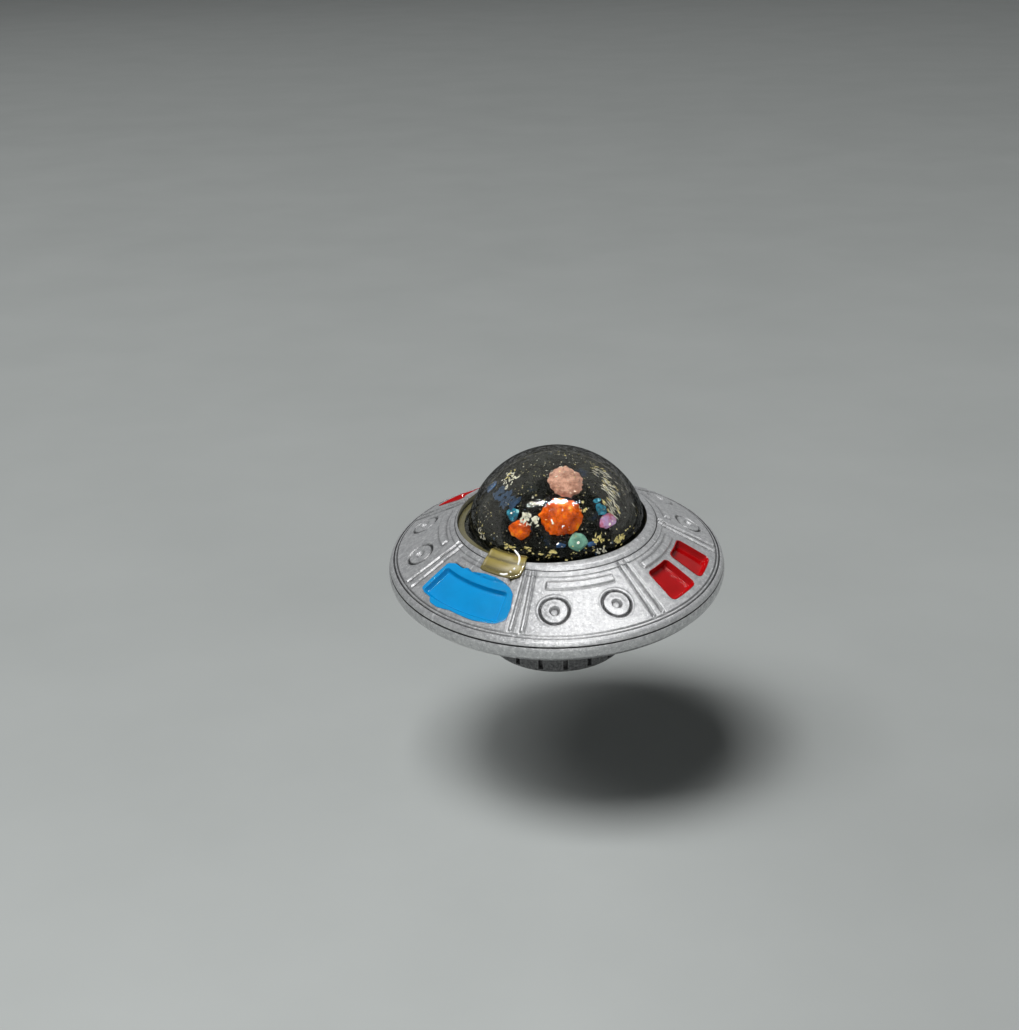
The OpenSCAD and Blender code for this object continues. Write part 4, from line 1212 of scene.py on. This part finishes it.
def mark_canopy_faces(shell):
    """Gives the lip and foot the second material and the inside of the dome the third."""
    lip_top = (CANOPY_Z + FOOT_H + LIP_RISE + 0.05) * MM
    for face in shell.data.polygons:
        out = face.center.xy - Vector(FOOT_AXIS[:2]) * MM
        if face.center.z < lip_top and out.length > (FOOT_R - 0.1) * MM:
            face.material_index = 1
        elif face.normal.xy.dot(out) < 0 or face.normal.z < -0.5:
            face.material_index = 2


def build_canopy():
    dome_colour = (0.5, 0.48, 0.3)
    clear = clear_resin("clear_amber_dome", (0.98, 0.97, 0.92), dome_colour, 0.0, shine=0.65, flecks_and_edge_shade=True)
    inside = clear_resin("clear_amber_dome_inside", (0.99, 0.98, 0.95), dome_colour, 0.0, shine=0.1)
    amber = clear_resin("clear_amber_lip", (0.82, 0.74, 0.30), (0.16, 0.14, 0.045), 0.7)
    # The tab's bands are painted light and shade.
    banded_painted_light = clear_resin("clear_amber_tab", (0.80, 0.72, 0.28), (0.29, 0.23, 0.045), 0.55, bands=(16.3, 20.5))
    shell = add(canopy_shell(), "canopy", clear, "canopy")
    shell.data.materials.append(amber)
    shell.data.materials.append(inside)
    mark_canopy_faces(shell)
    add(canopy_tab(), "canopy", banded_painted_light, "canopy")
    # The bead's pale resin glows: a painted highlight along the tab's edge.
    pale = resin("painted_highlight_bead_resin", (0.9, 0.9, 0.88), (0.7, 0.7, 0.68), 1.0, 0.5, 0.6)
    add(tab_highlight_bead(), "canopy", pale, "canopy")


def build_core():
    add(galaxy_core(), "saucer", galaxy_black(), "galaxy_core")
    resins = {slot_name: resin(slot_name + "_cast", *values) for slot_name, values in RESINS.items()}
    for seed, (node, (slot_name, _)) in enumerate(CONTENTS.items(), FIRST_SEED):
        add(inlay(node, seed), "saucer", resins[slot_name], node)
    foils = {
        "gold_glitter": foil("gold_foil_glitter", (0.80, 0.72, 0.34), (0.42, 0.36, 0.12)),
        "pale_glitter": foil("pale_foil_glitter", (0.80, 0.80, 0.72), (0.42, 0.42, 0.36)),
        "blue_glitter": foil("blue_foil_glitter", (0.03, 0.07, 0.15), (0.012, 0.03, 0.065)),
        # The glint flakes' pale glowing resin is painted highlight.
        "planet_glints": resin("painted_glint_resin", (0.95, 0.95, 0.92), (0.7, 0.7, 0.66), 1.0, 0.5, 0.7)}
    for name, material in foils.items():
        add(glitter(name), "saucer", material, "glitter_flakes")


def build_foot():
    add(grip_hub(), "foot", cast_grey(), "grip_hub")


def finish_cad_nodes():
    """Better materials for the CAD nodes that stay: the works inside and the screws."""
    for name, (colour, rough, nodes) in METALS.items():
        material = turned_metal(name, colour, rough)
        for node in nodes:
            paint(frame["nodes"][node], material)
    paint(frame["nodes"]["spring_arbor"], moulded_plastic("acetal_plastic", (0.72, 0.66, 0.52)))


# ---------------------------------------------------------------- studio

def turned_to(right, back):
    """Rotation whose X is right and whose Z is back."""
    return Matrix((right, back.cross(right), back)).transposed()


def place_camera():
    """Camera in front of the rim's centre, turned so that the centre falls left of and below the middle."""
    e = math.radians(CAMERA_ELEVATION)
    camera = bpy.data.objects.new("camera", bpy.data.cameras.new("camera"))
    bpy.context.collection.objects.link(camera)
    camera.data.sensor_width = 36
    camera.data.lens = CAMERA_LENS
    camera.data.clip_start = 0.01
    camera.data.clip_end = 20
    back = Vector((0, -math.cos(e), math.sin(e)))
    ahead = Vector((0, 0, -1))
    turn = Vector((*CAMERA_AIM, -1)).rotation_difference(ahead).to_matrix()
    spin = Matrix.Rotation(math.radians(CAMERA_ROLL), 3, "Z")
    place = Vector((0, 0, RIM_Z)) + back * CAMERA_DISTANCE
    look = turned_to(Vector((1, 0, 0)), back)
    camera.matrix_world = Matrix.Translation(place * MM) @ (look @ spin @ turn).to_4x4()
    bpy.context.scene.camera = camera


def area_light(name, location, size, power, size_y=None, aim=(0, 0, 0), **visible):
    data = bpy.data.lights.new(name, "AREA")
    data.shape = "RECTANGLE"
    data.size = size * MM
    data.size_y = (size if size_y is None else size_y) * MM
    data.energy = power
    light = bpy.data.objects.new(name, data)
    bpy.context.collection.objects.link(light)
    light.location = Vector(location) * MM
    back = (Vector(location) - Vector(aim)).normalized()
    across = (Vector((1, 0, 0)) - back * back.x).normalized()
    light.rotation_euler = turned_to(across, back).to_euler()
    light.visible_camera = False
    for key, value in visible.items():
        setattr(light, "visible_" + key, value)
    return light


def shine_only_on(light, name, starts):
    """Limits a highlight to the pieces whose names have these starts."""
    group = bpy.data.collections.new(name)
    for piece in bpy.data.objects:
        if piece.type == "MESH" and piece.name.startswith(starts):
            group.objects.link(piece)
    light.light_linking.receiver_collection = group


def lights():
    """Two soft boxes overhead light everything; the other three only make highlights."""
    area_light("key", (-400, -120, 1800), 780, 22.5, glossy=False)
    area_light("side_key", (-900, -120, 1750), 950, 14.0, glossy=False)
    strip = area_light("strip", (-30, -104, 330), 380, 3.0, 14, aim=(0, 0, 28), diffuse=False)
    shine_only_on(strip, "enamel_and_canopy", ("canopy", "blue_e", "red_e", *CONTENTS))
    softbox = area_light("softbox", (95, -55, 320), 320, 0.36, 170, aim=(0, 0, 20), diffuse=False)
    front_box = area_light("front_box", (20, -358, 207), 260, 0.5, 160, aim=(0, 0, 17), diffuse=False)
    for light in (softbox, front_box):
        shine_only_on(light, light.name + "_metal", ("saucer", "slotted"))


def surroundings():
    """Even white light all round, stronger in reflections than on matt surfaces."""
    world = bpy.data.worlds.new("studio")
    bpy.context.scene.world = world
    world.use_nodes = True
    nodes, links = world.node_tree.nodes, world.node_tree.links
    background = nodes["Background"]
    background.inputs["Color"].default_value = (0.97, 0.99, 1.0, 1)
    path = nodes.new("ShaderNodeLightPath")
    strength = nodes.new("ShaderNodeMapRange")
    links.new(path.outputs["Is Diffuse Ray"], strength.inputs["Value"])
    strength.inputs["To Min"].default_value = 0.49
    strength.inputs["To Max"].default_value = 0.055
    links.new(strength.outputs["Result"], background.inputs["Strength"])
    bpy.context.scene.view_settings.view_transform = "Standard"


def build_floor():
    mesh = bpy.data.meshes.new("floor")
    half = FLOOR_HALF * MM
    corners = [(-half, -half, 0), (half, -half, 0), (half, half, 0), (-half, half, 0)]
    mesh.from_pydata(corners, [], [(0, 1, 2, 3)])
    floor = bpy.data.objects.new("floor", mesh)
    bpy.context.collection.objects.link(floor)
    floor.location.z = -FLOOR_DROP * MM
    floor.rotation_euler.x = -math.radians(FLOOR_TILT)
    paint(floor, studio_floor())


build_saucer()
build_canopy()
build_core()
build_foot()
finish_cad_nodes()
place_camera()
build_floor()
lights()
surroundings()
